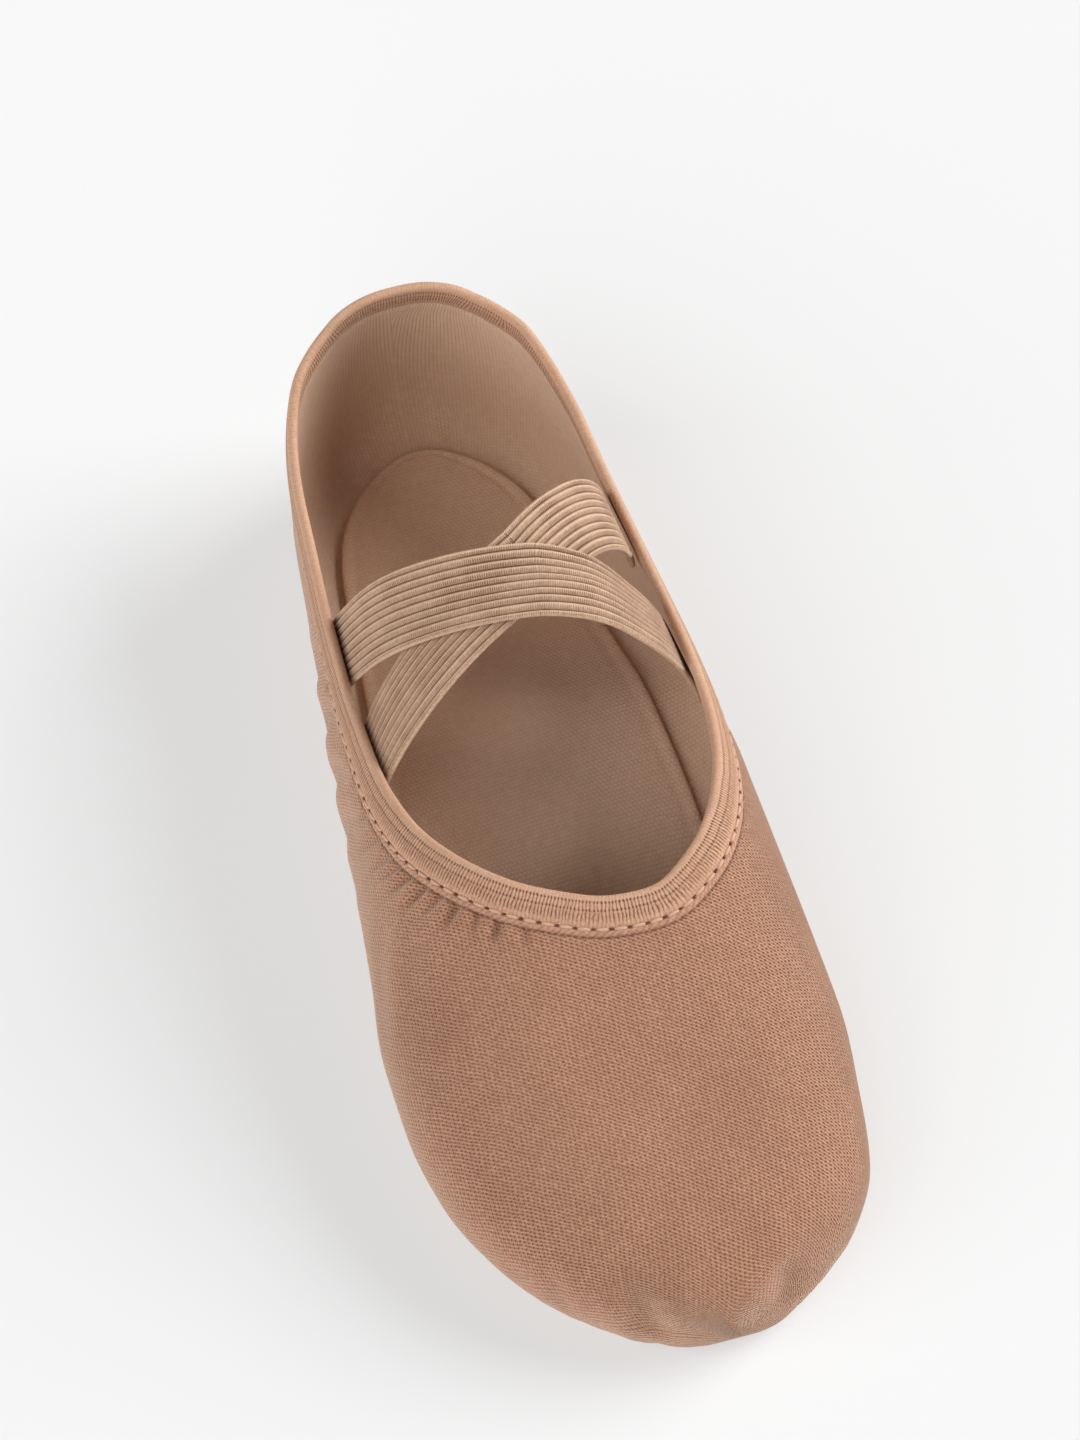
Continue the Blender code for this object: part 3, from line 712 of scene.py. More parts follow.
def sewnRelief(placeAt, below):
    # the stitch line in its groove, then the sewn ridge, pinched at every stitch, and puckers
    low = below - canvas["stitchRow"]
    ridge = np.sin(np.pi * np.clip(low / canvas["seamRidgeWidth"], 0, 1) ** 0.75) ** 0.8
    beat = smoothStep(np.cos(2 * np.pi * placeAt / canvas["stitchPitch"]))
    ridge = canvas["seamRidge"] * ridge * (1 - canvas["pinch"] * beat)
    pucker = canvas["pucker"] * beat * bell(below - canvas["puckerAt"], 0.0013)
    underRidge = 0.00016 * bell(low - canvas["seamRidgeWidth"] - 0.0001, 0.0004)
    return ridge + 0.00012 * bell(below, 0.0006) - pucker - underRidge


def pleatDepth(outer, shares, sides, widestRow):
    # pleats below the widest line, drawn in towards the pads
    fromToe = ring(shares, shares) * sides
    height = outer[..., 2] / section(shareAt(outer[..., 1]))["widest"]
    tuck = smoothStep((canvas["pleatStart"] - height) / canvas["pleatEase"])
    tuck = tuck * (np.arange(outer.shape[1]) > widestRow)
    depth = np.zeros(tuck.shape)
    for run in pleats:
        t = (sides - fromToe if run["heel"] else fromToe) / run["reach"]
        inside = smoothStep((1 - np.abs(t)) / 0.35)[:, None]
        wave = np.abs(np.sin(np.pi * t * run["count"] / 2 + 0.35 * np.sin(5 * t)))[:, None]
        depth += run["depth"] * inside * tuck * ((1 - wave) ** run["sharpness"] - 0.25)
    return depth


def lastCloth(points):
    # cloth coordinates of points on the last: length round the section from the ridge, positive
    # on the inner side, and length along the foot from the ball
    angles = np.linspace(0.02, np.pi - 0.02, 240)
    turns = np.linspace(0, np.pi, 121)
    grid = lastPoint(angles[:, None], turns[None, :])
    rounded = runningLength(grid, 1)
    rounded = rounded[:, 60:61] - rounded
    ahead = runningLength(grid, 0)
    ahead = ahead - ahead[np.searchsorted(angles, turn(0.25))]
    share = shareAt(points[..., 1])
    cut = section(share)
    off = points[..., 0] - cut["ridge"]
    over = np.maximum(points[..., 2] - cut["widest"], 0) / np.maximum(cut["rise"], 1e-6)
    around = np.arctan2(over, off / np.maximum(sideWidth(cut, off), 1e-6))
    row = (turn(share) - angles[0]) / (angles[1] - angles[0])
    column = around / (turns[1] - turns[0])
    i = np.clip(row.astype(int), 0, len(angles) - 2)
    j = np.clip(column.astype(int), 0, len(turns) - 2)
    a, b = np.clip(row - i, 0, 1), np.clip(column - j, 0, 1)
    return [(1 - a) * ((1 - b) * t[i, j] + b * t[i, j + 1])
            + a * ((1 - b) * t[i + 1, j] + b * t[i + 1, j + 1]) for t in (rounded, ahead)]


def clothPlaces(outer, fallen, widest, shares, sides, row):
    # cloth coordinates: over the last in front, then round the outline behind the waist, and
    # from the widest row carried on underneath square to the outline
    across, ahead = lastCloth(outer)
    waist = int(np.argmax(shares > canvas["clothTurn"]))
    heelColumn = len(shares) - 1
    total = len(widest)
    run = lengthsOf(widest[:heelColumn + 1])
    front = np.ones(total, bool)
    for start, columns in ((waist, np.arange(waist, heelColumn + 1)),
                           (total - waist, np.arange(total - waist, heelColumn, -1))):
        mirrored = np.minimum(columns, total - columns)
        ahead[columns] = ahead[start] + (run[mirrored] - run[waist])[:, None]
        high = fallen[columns, row][:, None] - fallen[columns]
        side = across[start, row]
        across[columns] = np.sign(side) * (abs(side) - high)
        front[columns] = False
    edgeRun = np.roll(widest, -1, axis=0) - np.roll(widest, 1, axis=0)
    outward = unit(np.stack([edgeRun[:, 1], -edgeRun[:, 0]], 1))
    outward *= np.sign(np.sum(outward * (widest - widest.mean(axis=0)), axis=1, keepdims=True))
    ease, end = canvas["clothEase"], canvas["clothTurn"]
    turned = smoothStep((shares - ease) / (end - ease))
    turned = ring(turned, turned)[:, None]
    outward = outward * (1 - turned) + sides[:, None] * (1, 0) * turned
    under = (fallen[:, row:] - fallen[:, row:row + 1])[front]
    for k, grid in enumerate((across, ahead)):
        grid[front, row:] = grid[front, row:row + 1] + under * outward[front, k:k + 1]
        # the toe's middle column lies between its neighbours
        grid[0, row:] = (grid[1, row:] + grid[-1, row:]) / 2
    return across, ahead


def makeUpper(materials):
    # columns spread evenly between the outline and the collar
    shares = np.linspace(0, 1, 401)
    shares = np.interp(np.linspace(0, 1, shoe["columnsPerSide"] + 1),
                       0.6 * shares + 0.4 * facingCurves["collar"](shares), shares)
    medial, lateral = outlineSide(1, shares), outlineSide(-1, shares)
    stations = (medial[:, 1] + lateral[:, 1]) / 2
    edgeMedial, onSeam = undersideEdge(1, stations)
    edgeLateral, _ = undersideEdge(-1, stations)
    widest, bottom = ring(medial, lateral), ring(edgeMedial, edgeLateral)
    for plan in (widest, bottom):
        plan[:, 1] -= shoe["length"] / 2
    angle, around, place = collarRing(facingCurves["collar"](shares))
    down, _ = collarDown(angle, around)
    top = walkSurface(angle, around, down, [canvas["start"]])[canvas["start"]][0]
    sides = ring(np.ones(len(shares)), -np.ones(len(shares)))
    toWaist = smoothStep((shares - toeFanEnd[0]) / (toeFanEnd[1] - toeFanEnd[0]))
    toWaist = toWaist * smoothStep((1 - shares) / canvas["heelEase"])
    outer = np.stack([wallColumn(*column) for column in zip(top, widest, bottom, sides,
                                                            ring(toWaist, toWaist))])
    fallen = runningLength(outer, 1)
    widestRow = len(canvas["fineRows"]) + canvas["wallRows"]
    placeAt, below, total = seamPlaces(outer, fallen, lastPoint(angle, around), place)

    drawn = gatherDepth(placeAt, below)
    worn = creaseDepth(outer) * smoothStep((below - canvas["creaseStart"]) / canvas["creaseEase"])
    # painted shade: the deeper a point lies in a gather or crease, the darker the canvas is painted
    # there
    foldShade = np.clip(-(drawn + 0.35 * worn) / canvas["foldDepth"], 0, 1)
    relief = sewnRelief(placeAt, below) + drawn + worn
    relief = relief - pleatDepth(outer, shares, sides, widestRow)
    normal = gridNormals(outer)
    skin = outer + normal * relief[..., None]
    rows = outer.shape[1]
    picked = [0, *range(canvas["liningEvery"], rows - 1, canvas["liningEvery"]), rows - 1]
    inward = canvas["wall"] - canvas["liningRelief"] * relief[..., None]
    lining = (outer - normal * inward)[:, picked]

    across, ahead = clothPlaces(outer, fallen, widest, shares, sides, widestRow)
    # the fold layer carries the painted shade of the gathers and creases
    grids = [thereAndBack(grid, grid[:, picked])
             for grid in (across, ahead, placeAt, below, foldShade, foldShade)]
    layers = {}
    for k, name in enumerate(("cloth", "seam", "fold")):
        grid = np.stack(grids[2 * k:2 * k + 2], -1)
        layers[name] = (grid, np.roll(grid, -1, axis=0))
    # one cloth round the heel, and one place count round the closed collar
    near, far = layers["cloth"]
    heelColumn = len(shares) - 1
    far[heelColumn] = 2 * near[heelColumn] - near[heelColumn - 1]
    near, far = layers["seam"]
    far[..., 0] = near[..., 0] + (far[..., 0] - near[..., 0] + total / 2) % total - total / 2
    seam = ring(onSeam, onSeam)
    bothSeam = seam & np.roll(seam, -1)
    thing = gridMesh("canvas_upper", thereAndBack(skin, lining), True, True, layers, materials,
                     slotOf=lambda i, j: (j >= rows - 1).astype(int),
                     skip=lambda i, j: (j == rows - 1) & bothSeam[i])
    attach(thing, "upper", slot="canvas")
    print("canvas upper:", len(thing.data.polygons), "faces")


# Binding: folded knitted elastic
binding = {
    "width": 0.0066,
    "thickness": 0.0020,
    "step": 0.00045,  # how far it stands proud of the canvas
    "perSide": 620,
    "rowStep": 0.00024,
    "fold": 0.0010,
    "bands": (0.0016, 0.0033, 0.0054, 0.0063),  # pinhole rows between the knitted bands
    "bandRise": 0.00008,
    "crown": 0.00025,
    "rungPitch": 0.00066,
    "backRows": (0.0030, 0.0050),
    "backDip": 0.0001,
    "colour": linear(178, 134, 107),
    "light": linear(206, 166, 138),
    "dark": linear(108, 69, 49),
}


def makeBinding(materials):
    angle, around, _ = collarRing(np.linspace(0, 1, binding["perSide"] + 1))
    down, _ = collarDown(angle, around)
    width, fold, outside = binding["width"], binding["fold"], binding["step"]
    inside = outside - binding["thickness"]
    middle = (outside + inside) / 2
    # distance below the collar edge and height: up the front, over the fold and down the back
    front = np.arange(fold, width - 0.0002, binding["rowStep"])
    relief = np.zeros(len(front))
    rows = binding["bands"]
    for start, end in zip(rows[:-1], rows[1:]):
        t = (front - start) / (end - start)
        relief += binding["bandRise"] * np.sin(np.pi * np.clip(t, 0, 1)) ** 0.6
    relief += np.where(front < rows[0], binding["bandRise"] * 1.3, 0)
    relief += binding["crown"] * np.sin(np.pi * (front - fold) / (width - fold))
    rounding = np.linspace(math.pi / 2, 0, 7)[1:]
    profile = [*zip(front[::-1], (outside + relief)[::-1])]
    profile += [(fold - fold * math.cos(a), middle + (outside - middle) * math.sin(a) * 1.04)
                for a in rounding]
    profile += [(fold - fold * math.cos(a), middle - (middle - inside) * math.sin(a))
                for a in rounding[-2::-1]]
    profile += [(fold, inside), *((d, inside - binding["backDip"]) for d in binding["backRows"]),
                (width, inside), (width + 0.0003, middle - 0.0002), (width + 0.00025, 0.0),
                (width, outside * 0.6)]
    found = walkSurface(angle, around, down, sorted({d for d, _ in profile}))
    points = np.stack([found[d][0] + found[d][1] * height for d, height in profile], 1)
    layer = np.stack(np.broadcast_arrays(np.linspace(0, 1, len(points) + 1)[:, None],
                                         [d for d, _ in profile]), -1)
    thing = gridMesh("collar_elastic", points[:, ::-1], True, True,
                     {"band": layer[:, ::-1]}, materials)
    attach(thing, "collar_binding", slot="elastic")
    print("binding:", len(thing.data.polygons), "faces")


# Straps: ribbed elastic
straps = {
    "width": 0.016,
    "thickness": 0.0012,
    "inset": 0.0024,  # depth of their outer face below the last, inside the collar
    "gap": 0.0006,
    "seatAngle": math.radians(14),
    "liftReach": (0.17, 0.36),
    "steps": 300,
    # grooves between the ribs, as shares of the width
    "grooves": (0.0, 0.075, 0.195, 0.300, 0.400, 0.520, 0.610, 0.715, 0.815, 0.925, 1.0),
    "perRib": 7,
    "ribHeight": 0.00058,
    "ribPower": 0.55,
    "sway": 0.18,  # how far the ribs' height wanders
    "pickPitch": 0.00046,
    "colour": linear(197, 158, 130),
    "light": linear(230, 197, 168),
    "dark": linear(98, 64, 44),
}
strapTable = {
    "strap_over": {"medial": 0.5875, "lateral": 0.6792, "pull": 0.029, "liftsOver": True},
    "strap_under": {"medial": 0.7333, "lateral": 0.5375, "pull": 0.012, "liftsOver": False},
}


def strapPath(strap):
    share = np.linspace(0, 1, straps["steps"] + 1)
    around = straps["seatAngle"] + (math.pi - 2 * straps["seatAngle"]) * share
    station = strap["medial"] + (strap["lateral"] - strap["medial"]) * share
    station = station - strap["pull"] * np.sin(math.pi * share)
    return turn(station), around, station


def makeStrap(name, materials):
    strap = strapTable[name]
    angle, around, station = strapPath(strap)
    point, _, _, normal = lastFrame(angle, around)
    sideways = np.cross(unit(np.gradient(point, axis=0)), normal)
    depth = np.full(len(angle), straps["inset"])
    if strap["liftsOver"]:
        other, = (row for key, row in strapTable.items() if key != name)
        crossing = np.argmin(np.abs(strapPath(other)[2] - station))
        distance = np.abs(np.arange(len(angle)) - crossing) / straps["steps"]
        full, none = straps["liftReach"]
        depth = depth - (straps["thickness"] + straps["gap"]) * smoothStep(
            (none - distance) / (none - full))
    half = straps["width"] / 2
    grooves = np.array(straps["grooves"])
    counts = np.arange(len(grooves))
    fine = np.linspace(0, counts[-1], counts[-1] * straps["perRib"] + 1)
    places = half * (2 * np.interp(fine, counts, grooves) - 1)
    found = {0.0: (point, normal)}
    for side in (-1, 1):
        found.update(walkSurface(angle, around, sideways,
                                 [place for place in places if place * side > 1e-9]))
    across = np.array(sorted(found))
    points, normals = (np.stack([found[place][k] for place in across], 1) for k in (0, 1))
    number = np.interp((across + half) / straps["width"], grooves, counts)
    rib = straps["ribHeight"] * (np.abs(np.sin(np.pi * number)) ** straps["ribPower"] - 1)
    travel = lengthsOf(point)[:, None]
    sway = straps["sway"] * np.sin(travel * 95 + across * 520)
    depth = depth[:, None]
    outer = points - normals * (depth - rib * (1 + sway))[..., None]
    inner = points - normals * (depth + straps["thickness"] + 0.5 * rib)[..., None]
    loop = thereAndBack(outer, inner)
    layer = np.stack(np.broadcast_arrays(travel, [*number, *number[::-1]]), -1)
    thing = gridMesh(name + "_elastic", loop, False, True, {"band": layer}, materials)
    capEnds(thing, len(loop), loop.shape[1])
    attach(thing, name, slot="strap_elastic")
    print(name, len(thing.data.polygons), "faces")


def capEnds(thing, columns, rows):
    # closes the cut ends of a strap
    bm = bmesh.new()
    bm.from_mesh(thing.data)
    bm.verts.ensure_lookup_table()
    last = (columns - 1) * rows
    half = rows // 2
    for start in (0, last):
        for k in range(half - 1):
            corners = [bm.verts[start + n] for n in (k, k + 1, rows - 2 - k, rows - 1 - k)]
            bm.faces.new(corners if start else corners[::-1])
    bmesh.ops.recalc_face_normals(bm, faces=bm.faces)
    bm.to_mesh(thing.data)
    bm.free()


# Stitches
thread = {
    "pitch": 0.0036,
    "length": 0.0030,
    "radius": 0.00033,
    "sides": 8,
    "rings": 7,
    "lift": 0.00022,  # height of a stitch's middle over the canvas
    "holeLength": 0.00085,
    "holeRadius": 0.00031,
    "holeLift": 0.00010,
    "colour": linear(206, 164, 140),
    # dark of the needle holes: painted shade inside each hole
    "hole": linear(98, 62, 46),
}


def stitchMesh(name, centres, tangents, normals, length, radius, material, slot):
    # a joined mesh of short capsules, each bedded into what it sews
    rings, sides = thread["rings"], thread["sides"]
    long, thick = (np.broadcast_to(size, len(centres))[:, None, None, None]
                   for size in (length, radius))
    centre, tangent, normal, binormal = (grid[:, None, None] for grid in (
        centres, tangents, normals, np.cross(tangents, normals)))
    t = np.linspace(-1, 1, rings)[:, None, None]
    angle = np.linspace(0, 2 * np.pi, sides, endpoint=False)[:, None]
    profile = np.sqrt(np.clip(1 - np.abs(t) ** 3.0, 0.03, 1))
    base = centre + tangent * (t * long / 2) + normal * (-1.1 * t ** 4 * thick)
    shape = base + profile * thick * (binormal * np.cos(angle) * 1.15 + normal * np.sin(angle))
    corner = np.arange(len(centres) * rings * sides).reshape(-1, rings, sides)
    beside = np.roll(corner, -1, axis=2)
    walls = np.stack([corner[:, :-1], beside[:, :-1], beside[:, 1:], corner[:, 1:]], -1)
    ends = np.concatenate([corner[:, 0, ::-1], corner[:, -1]])
    mesh = bpy.data.meshes.new(name)
    mesh.from_pydata(shape.reshape(-1, 3).tolist(), [],
                     walls.reshape(-1, 4).tolist() + ends.tolist())
    mesh.shade_smooth()
    mesh.materials.append(material)
    attach(show(name, mesh), slot=slot)


def makeCollarStitches(threadMaterial, holeShadeMaterial):
    angle, around, _ = collarRing(np.linspace(0, 1, 901))
    down, tangent = collarDown(angle, around)
    row = canvas["bindingWidth"] + canvas["stitchRow"] * 0.75
    point, normal = walkSurface(angle, around, down, [row])[row]
    lengths = lengthsOf(closed(point))
    count = int(round(lengths[-1] / thread["pitch"]))
    sizes = 1 + 0.30 * np.sin(2.1 * np.arange(count)) * np.sin(0.9 * np.arange(count) + 1)
    for name, shift, lift, length, radius, material in (
            ("collar_stitches", 0.5, thread["lift"], thread["length"], thread["radius"],
             threadMaterial),
            # dark capsules at the needle holes: painted shade, no hole is cut
            ("needle_holes", 0.0, thread["holeLift"], thread["holeLength"] * sizes,
             thread["holeRadius"] * sizes, holeShadeMaterial)):
        places = (np.arange(count) + shift) / count * lengths[-1]
        centres, ahead, out = (readAt(closed(values), lengths, places)
                               for values in (point, tangent, normal))
        stitchMesh(name, centres + out * lift, ahead, out, length, radius, material, "elastic")
    print("collar stitches:", count)


# Soles: suede pads with a stitched groove
sole = {
    "thickness": 0.0018,
    "edge": 0.0005,
    "around": 240,
    "stitchInset": 0.0032,
    "grooveDepth": 0.00055,
    "grooveWidth": 0.0006,
    "stitchPitch": 0.0034,
    "stitchLength": 0.0025,
    "stitchRadius": 0.00020,
    "stitchSink": 0.00014,  # how far a stitch's middle lies below the groove's floor
    "innerRows": (0.0030, 0.0120, 0.0190),  # insets of the rows inside the stitching
    "colour": linear(156, 121, 97),
    "dark": linear(122, 91, 71),
    "light": linear(178, 143, 117),
}


def makeSolePad(name, suede, threadMaterial):
    pad = solePads[name]
    turns = np.linspace(0, 2 * np.pi, sole["around"], endpoint=False)
    thickness, edge, deep = sole["thickness"], sole["edge"], sole["grooveDepth"]
    inset, groove = sole["stitchInset"], sole["grooveWidth"]

    def outlineAt(depth, height):
        plan = padOutline(pad, depth, turns)
        return np.column_stack([plan[:, 0], plan[:, 1] - shoe["length"] / 2,
                                np.full(len(turns), height)])

    # inset from the outline and height, from the middle of the underside to that of the top
    corner = [(edge - edge * math.sin(a), edge - edge * math.cos(a))
              for a in np.linspace(0, math.pi / 2, 5)]
    ladder = [(d, 0.0) for d in sole["innerRows"][:0:-1]]
    ladder += [(inset + k * groove, deep * share) for k, share in (
        (3, 0.0), (1, 0.0), (0.5, 0.75), (0, 1.0), (-0.5, 0.75), (-1, 0.0), (-2, 0.0))]
    ladder += corner + [(d, thickness - z) for d, z in reversed(corner)]
    ladder += [(d, thickness) for d in sole["innerRows"]]
    deepest = pad["halfWidth"] * shoe["ballWidth"] * 0.92
    rows = [outlineAt(min(depth, deepest), height) for depth, height in ladder]
    centre = np.mean(rows[0], axis=0)
    low, high = (np.tile([*centre[:2], height], (len(turns), 1)) for height in (0.0, thickness))
    points = np.stack([low, *rows, high], 1)[:, ::-1]
    thing = gridMesh(name + "_suede", points, True, False, {"band": points[..., :2]}, [suede])
    attach(thing, name, slot="suede")
    line = closed(outlineAt(inset, deep - sole["stitchSink"]))
    lengths = lengthsOf(line)
    count = int(round(lengths[-1] / sole["stitchPitch"]))
    places = (np.arange(count) + 0.5) / count * lengths[-1]
    centres = readAt(line, lengths, places)
    ahead = unit(readAt(line, lengths, (places + 0.0005) % lengths[-1]) - centres)
    stitchMesh(name + "_stitches", centres, ahead, np.tile([0.0, 0.0, -1.0], (count, 1)),
               sole["stitchLength"], sole["stitchRadius"], threadMaterial, "suede")
    print(name, len(thing.data.polygons), "faces,", count, "stitches")


# Insole: a thin cotton sock, its sewn edge drawn as a groove
insole = {
    "thickness": 0.0016,
    "lift": 0.0020,  # wall and gap below it
    "toeGap": 0.0070,
    "heelGap": 0.0100,
    "reach": 0.75,
    "stations": 150,
    "across": 44,
    "crown": 0.0003,
    "stitchInset": 0.0030,
    "grooveDepth": 0.00035,
    "grooveWidth": 0.0006,
    "weavePitch": 0.0009,
    "edgeRound": 0.0012,
    "crownReach": 0.010,
    "colour": linear(200, 166, 140),
    "dark": linear(168, 132, 107),
    "light": linear(220, 190, 166),
}


def makeInsole(material):
    length = shoe["length"]
    t = (1 - np.cos(np.linspace(0, math.pi, insole["stations"]))) / 2
    share = (insole["toeGap"] + t * (length - insole["toeGap"] - insole["heelGap"])) / length
    cut = section(t)
    middle, half = cut["middle"][:, None], cut["half"][:, None]
    span = np.sin(np.linspace(-math.pi / 2, math.pi / 2, insole["across"] + 1))
    x = middle + half * span * insole["reach"]
    shares = np.repeat(share[:, None], len(span), axis=1)
    floor = np.stack([x, along(shares), underHeight(x, shares)], -1)
    step = 0.0002
    ahead = step / length
    slopeX = (underHeight(x + step, shares) - underHeight(x - step, shares)) / (2 * step)
    slopeY = (underHeight(x, shares + ahead) - underHeight(x, shares - ahead)) / (2 * step)
    normal = unit(np.stack([-slopeX, -slopeY, np.ones_like(slopeX)], -1))
    fromEdge = np.minimum((1 - np.abs(span)) * half * insole["reach"],
                          np.minimum(t, 1 - t)[:, None] * length * 2)
    rounded = np.sqrt(np.clip(1 - (1 - np.clip(fromEdge / insole["edgeRound"], 0, 1)) ** 2, 0, 1))
    groove = insole["grooveDepth"] * bell(fromEdge - insole["stitchInset"], insole["grooveWidth"])
    crown = insole["crown"] * smoothStep(fromEdge / insole["crownReach"])
    top = insole["thickness"] * (0.55 + 0.45 * rounded) + crown - groove
    lower = floor + normal * insole["lift"]
    upper = floor + normal * (insole["lift"] + top[..., None])
    for sheet in (lower, upper):
        for end in (0, -1):
            sheet[end] = sheet[end, len(span) // 2]
    loop = thereAndBack(lower, upper)
    thing = gridMesh("cotton_insole", loop, False, True, {"band": loop[..., :2]}, [material])
    attach(thing, "insole", slot="lining")
    print("insole:", len(thing.data.polygons), "faces")


def peak(value, centre, slope):
    # 1 at the centre, falling to 0 on both sides
    return (1 - abs(value - centre) * slope).atLeast(0.0)


def weave(u, v, pitch):
    # plain weave: how high the yarns stand and how deep the pits between them are
    row = v * (1 / pitch)
    column = u * (1 / pitch) + (row.floor() % 2.0) * 0.5
    warp = abs((column * math.pi).sine())
    weft = abs((row * math.pi).sine())
    return (warp * weft) ** 0.45, ((1 - warp) * (1 - weft)) ** 1.3


def twill(u, v):
    # stretch weave as the sum of four waves, the strongest on the slant: yarn height and pits
    turns = 2000 * math.pi  # one repeat a millimetre
    first, second = (u * (across * turns) + v * (ahead * turns)
                     for across, ahead in (canvas["weaveFirst"], canvas["weaveSecond"]))
    quarter = math.pi / 2
    wave = ((first + second + quarter).sine() * 0.48 + (first + quarter).sine() * 0.20
            + (first - second + quarter).sine() * 0.20 + (second + quarter).sine() * 0.12)
    return 0.5 - wave * 0.5, ((wave - 0.10).atLeast(0.0) * (1 / 0.90)) ** 1.2


def canvasFinish():
    f = Finish("stretch canvas", canvas["colour"], 0.88, sheen=0.95, sheenRoughness=0.38,
               sheenTint=(1.0, 0.76, 0.62, 1.0))
    deep, light, ridgeWidth = canvas["deep"], canvas["light"], canvas["seamRidgeWidth"]
    u, v = f.place("cloth")
    seamAt, below = f.place("seam")
    foldShade, _ = f.place("fold")
    fleck = f.noise(0.0007, detail=3.0, roughness=0.65)
    tone = f.noise(0.030, detail=2.0)
    soft = f.noise(0.006, detail=2.0)
    shift = f.noise(0.0016, detail=1.0) - 0.5
    cell, pit = twill(u + (soft - 0.5) * 0.0006 + shift * 0.0005,
                      v + (soft - 0.5) * 0.0005 - shift * 0.0004)
    colour = f.mix((fleck - 0.5) * 3.4 + 0.38, canvas["colour"], light)
    colour = f.mix(((tone - 0.5) * 0.9 + (soft - 0.5) * 0.6 + 0.15).atMost(1.0),
                   colour, canvas["dark"])
    low = below - canvas["stitchRow"]
    onRidge = (peak(low, ridgeWidth * 0.5, 1.5 / ridgeWidth) * 1.6).atMost(1.0)
    plain = 1 - onRidge * 0.75
    # painted shade in the pits of the weave and between the yarns, then a painted highlight on the
    # yarn tops, both weaker on the sewn ridge
    colour = f.mix(((pit * 0.46 + (1 - cell) * 0.46) * plain).atMost(0.95), colour, deep)
    colour = f.mix(((cell - 0.52) * 1.4 * plain).atLeast(0.0).atMost(0.65), colour, light)
    # the sewn ridge is a rolled edge with slanting wraps of thread
    wraps = abs(((seamAt * (1 / canvas["wrapPitch"]) + below * 700) * math.pi).sine())
    colour = f.mix(onRidge * (fleck * 0.9 + wraps * 0.35 - 0.1).atMost(1.0) * 0.65,
                   colour, canvas["ridge"])
    # painted shade between the wraps of thread on the sewn ridge
    colour = f.mix(onRidge * (1 - wraps) * 0.30, colour, deep)
    # painted shade in the gathers and creases, read from the fold layer
    colour = f.mix(foldShade * 0.40, colour, deep)
    # painted shadow: a dotted line along the lower edge of the sewn ridge, and painted shade in the
    # groove of the stitch row
    line = peak(low, ridgeWidth + 0.0001, 1 / 0.00042)
    dots = abs((seamAt * (math.pi / canvas["wrapPitch"])).sine()) * 0.75 + 0.30
    groove = peak(below, canvas["stitchRow"] * 0.6, 1 / 0.0005)
    colour = f.mix((line * dots * 0.95 + groove * 0.65).atMost(0.85), colour, deep)
    f.drive("Base Color", colour)
    f.drive("Roughness", 0.82 + (1 - cell) * 0.12)
    coarse = f.bump(soft * 0.6 + fleck * 0.4, 0.00012, 0.5)
    height = cell * plain * 0.9 + fleck * 0.35 - pit * plain * 0.4 - line * 0.5
    f.drive("Normal", f.bump(height, 0.00034, 0.9, Normal=coarse))
    return f.material


def liningFinish(layer):
    f = Finish("cotton lining", insole["colour"], 0.9, sheen=0.1)
    u, v = f.place(layer)
    fleck = f.noise(0.0014, detail=2.0)
    cell, pit = weave(u, v, insole["weavePitch"])
    colour = f.mix((fleck - 0.5) * 0.9 + 0.35, insole["colour"], insole["light"])
    # painted shade between the yarns and in the pits of the weave
    f.drive("Base Color", f.mix((1 - cell) * 0.25 + pit * 0.3, colour, insole["dark"]))
    f.drive("Normal", f.bump(cell + fleck * 0.4 - pit * 0.3, 0.00018, 0.6))
    return f.material


def bindingFinish(total):
    f = Finish("folded elastic", binding["colour"], 0.78, sheen=0.25, sheenRoughness=0.35,
               sheenTint=(1.0, 0.78, 0.62, 1.0))
    light, dark, rows = binding["light"], binding["dark"], binding["bands"]
    share, depth = f.place("band")
    rungCount = round(total / binding["rungPitch"])
    wander = f.noise(0.0025, detail=2.0)
    rung = abs(((share * rungCount + (wander - 0.5) * 1.1) * math.pi).sine())
    between = (1 - rung) ** 1.5
    depth = depth + (wander - 0.5) * 0.0004
    holes = lines = 0.0
    for row in rows[:-2]:
        near = peak(depth, row, 1 / 0.00034)
        holes = near * between + holes
        lines = near + lines
    upper = depth.above(rows[0]) * depth.below(rows[1])
    lower = peak(depth, (rows[1] + rows[2] + 0.0004) / 2, 1 / 0.0011) ** 0.5
    strip = depth.below(rows[0])
    hem = depth.above(rows[2])
    fleck = f.noise(0.0006, detail=3.0, roughness=0.7)
    tone = f.noise(0.010, detail=2.0)
    colour = f.mix((fleck - 0.5) * 2.6 + (tone - 0.5) * 0.8 + 0.35, binding["colour"], light)
    colour = f.mix((0.45 - fleck) * 1.6 * (1 - strip), colour, dark)
    # painted highlight along the folded top strip
    colour = f.mix(strip * 0.35, colour, light)
    worn = (tone * 1.6 - 0.25).atLeast(0.0).atMost(1.0)
    # painted highlight on the rungs of the upper band and the hem; below it, painted shade between
    # the rungs, in the pinholes and along their rows, strongest in the lower band and varied in
    # patches
    colour = f.mix(rung ** 3.0 * (upper * 0.40 + hem * 0.20), colour, light)
    shade = (holes * 1.9 + between * (lower * 1.35 + upper * 0.85 + hem * 0.35 + strip * 0.12)
             + lines * 0.18)
    colour = f.mix((shade * (worn * 0.7 + 0.5)).atMost(0.95), colour, dark)
    f.drive("Base Color", colour)
    f.drive("Roughness", 0.80 - strip * 0.12 + (fleck - 0.5) * 0.1)
    height = (rung ** 0.6) * (lower * 0.5 + 0.25) - lines * 0.35 - holes * 0.7 + fleck * 0.5
    f.drive("Normal", f.bump(height, 0.00026, 0.9))
    return f.material


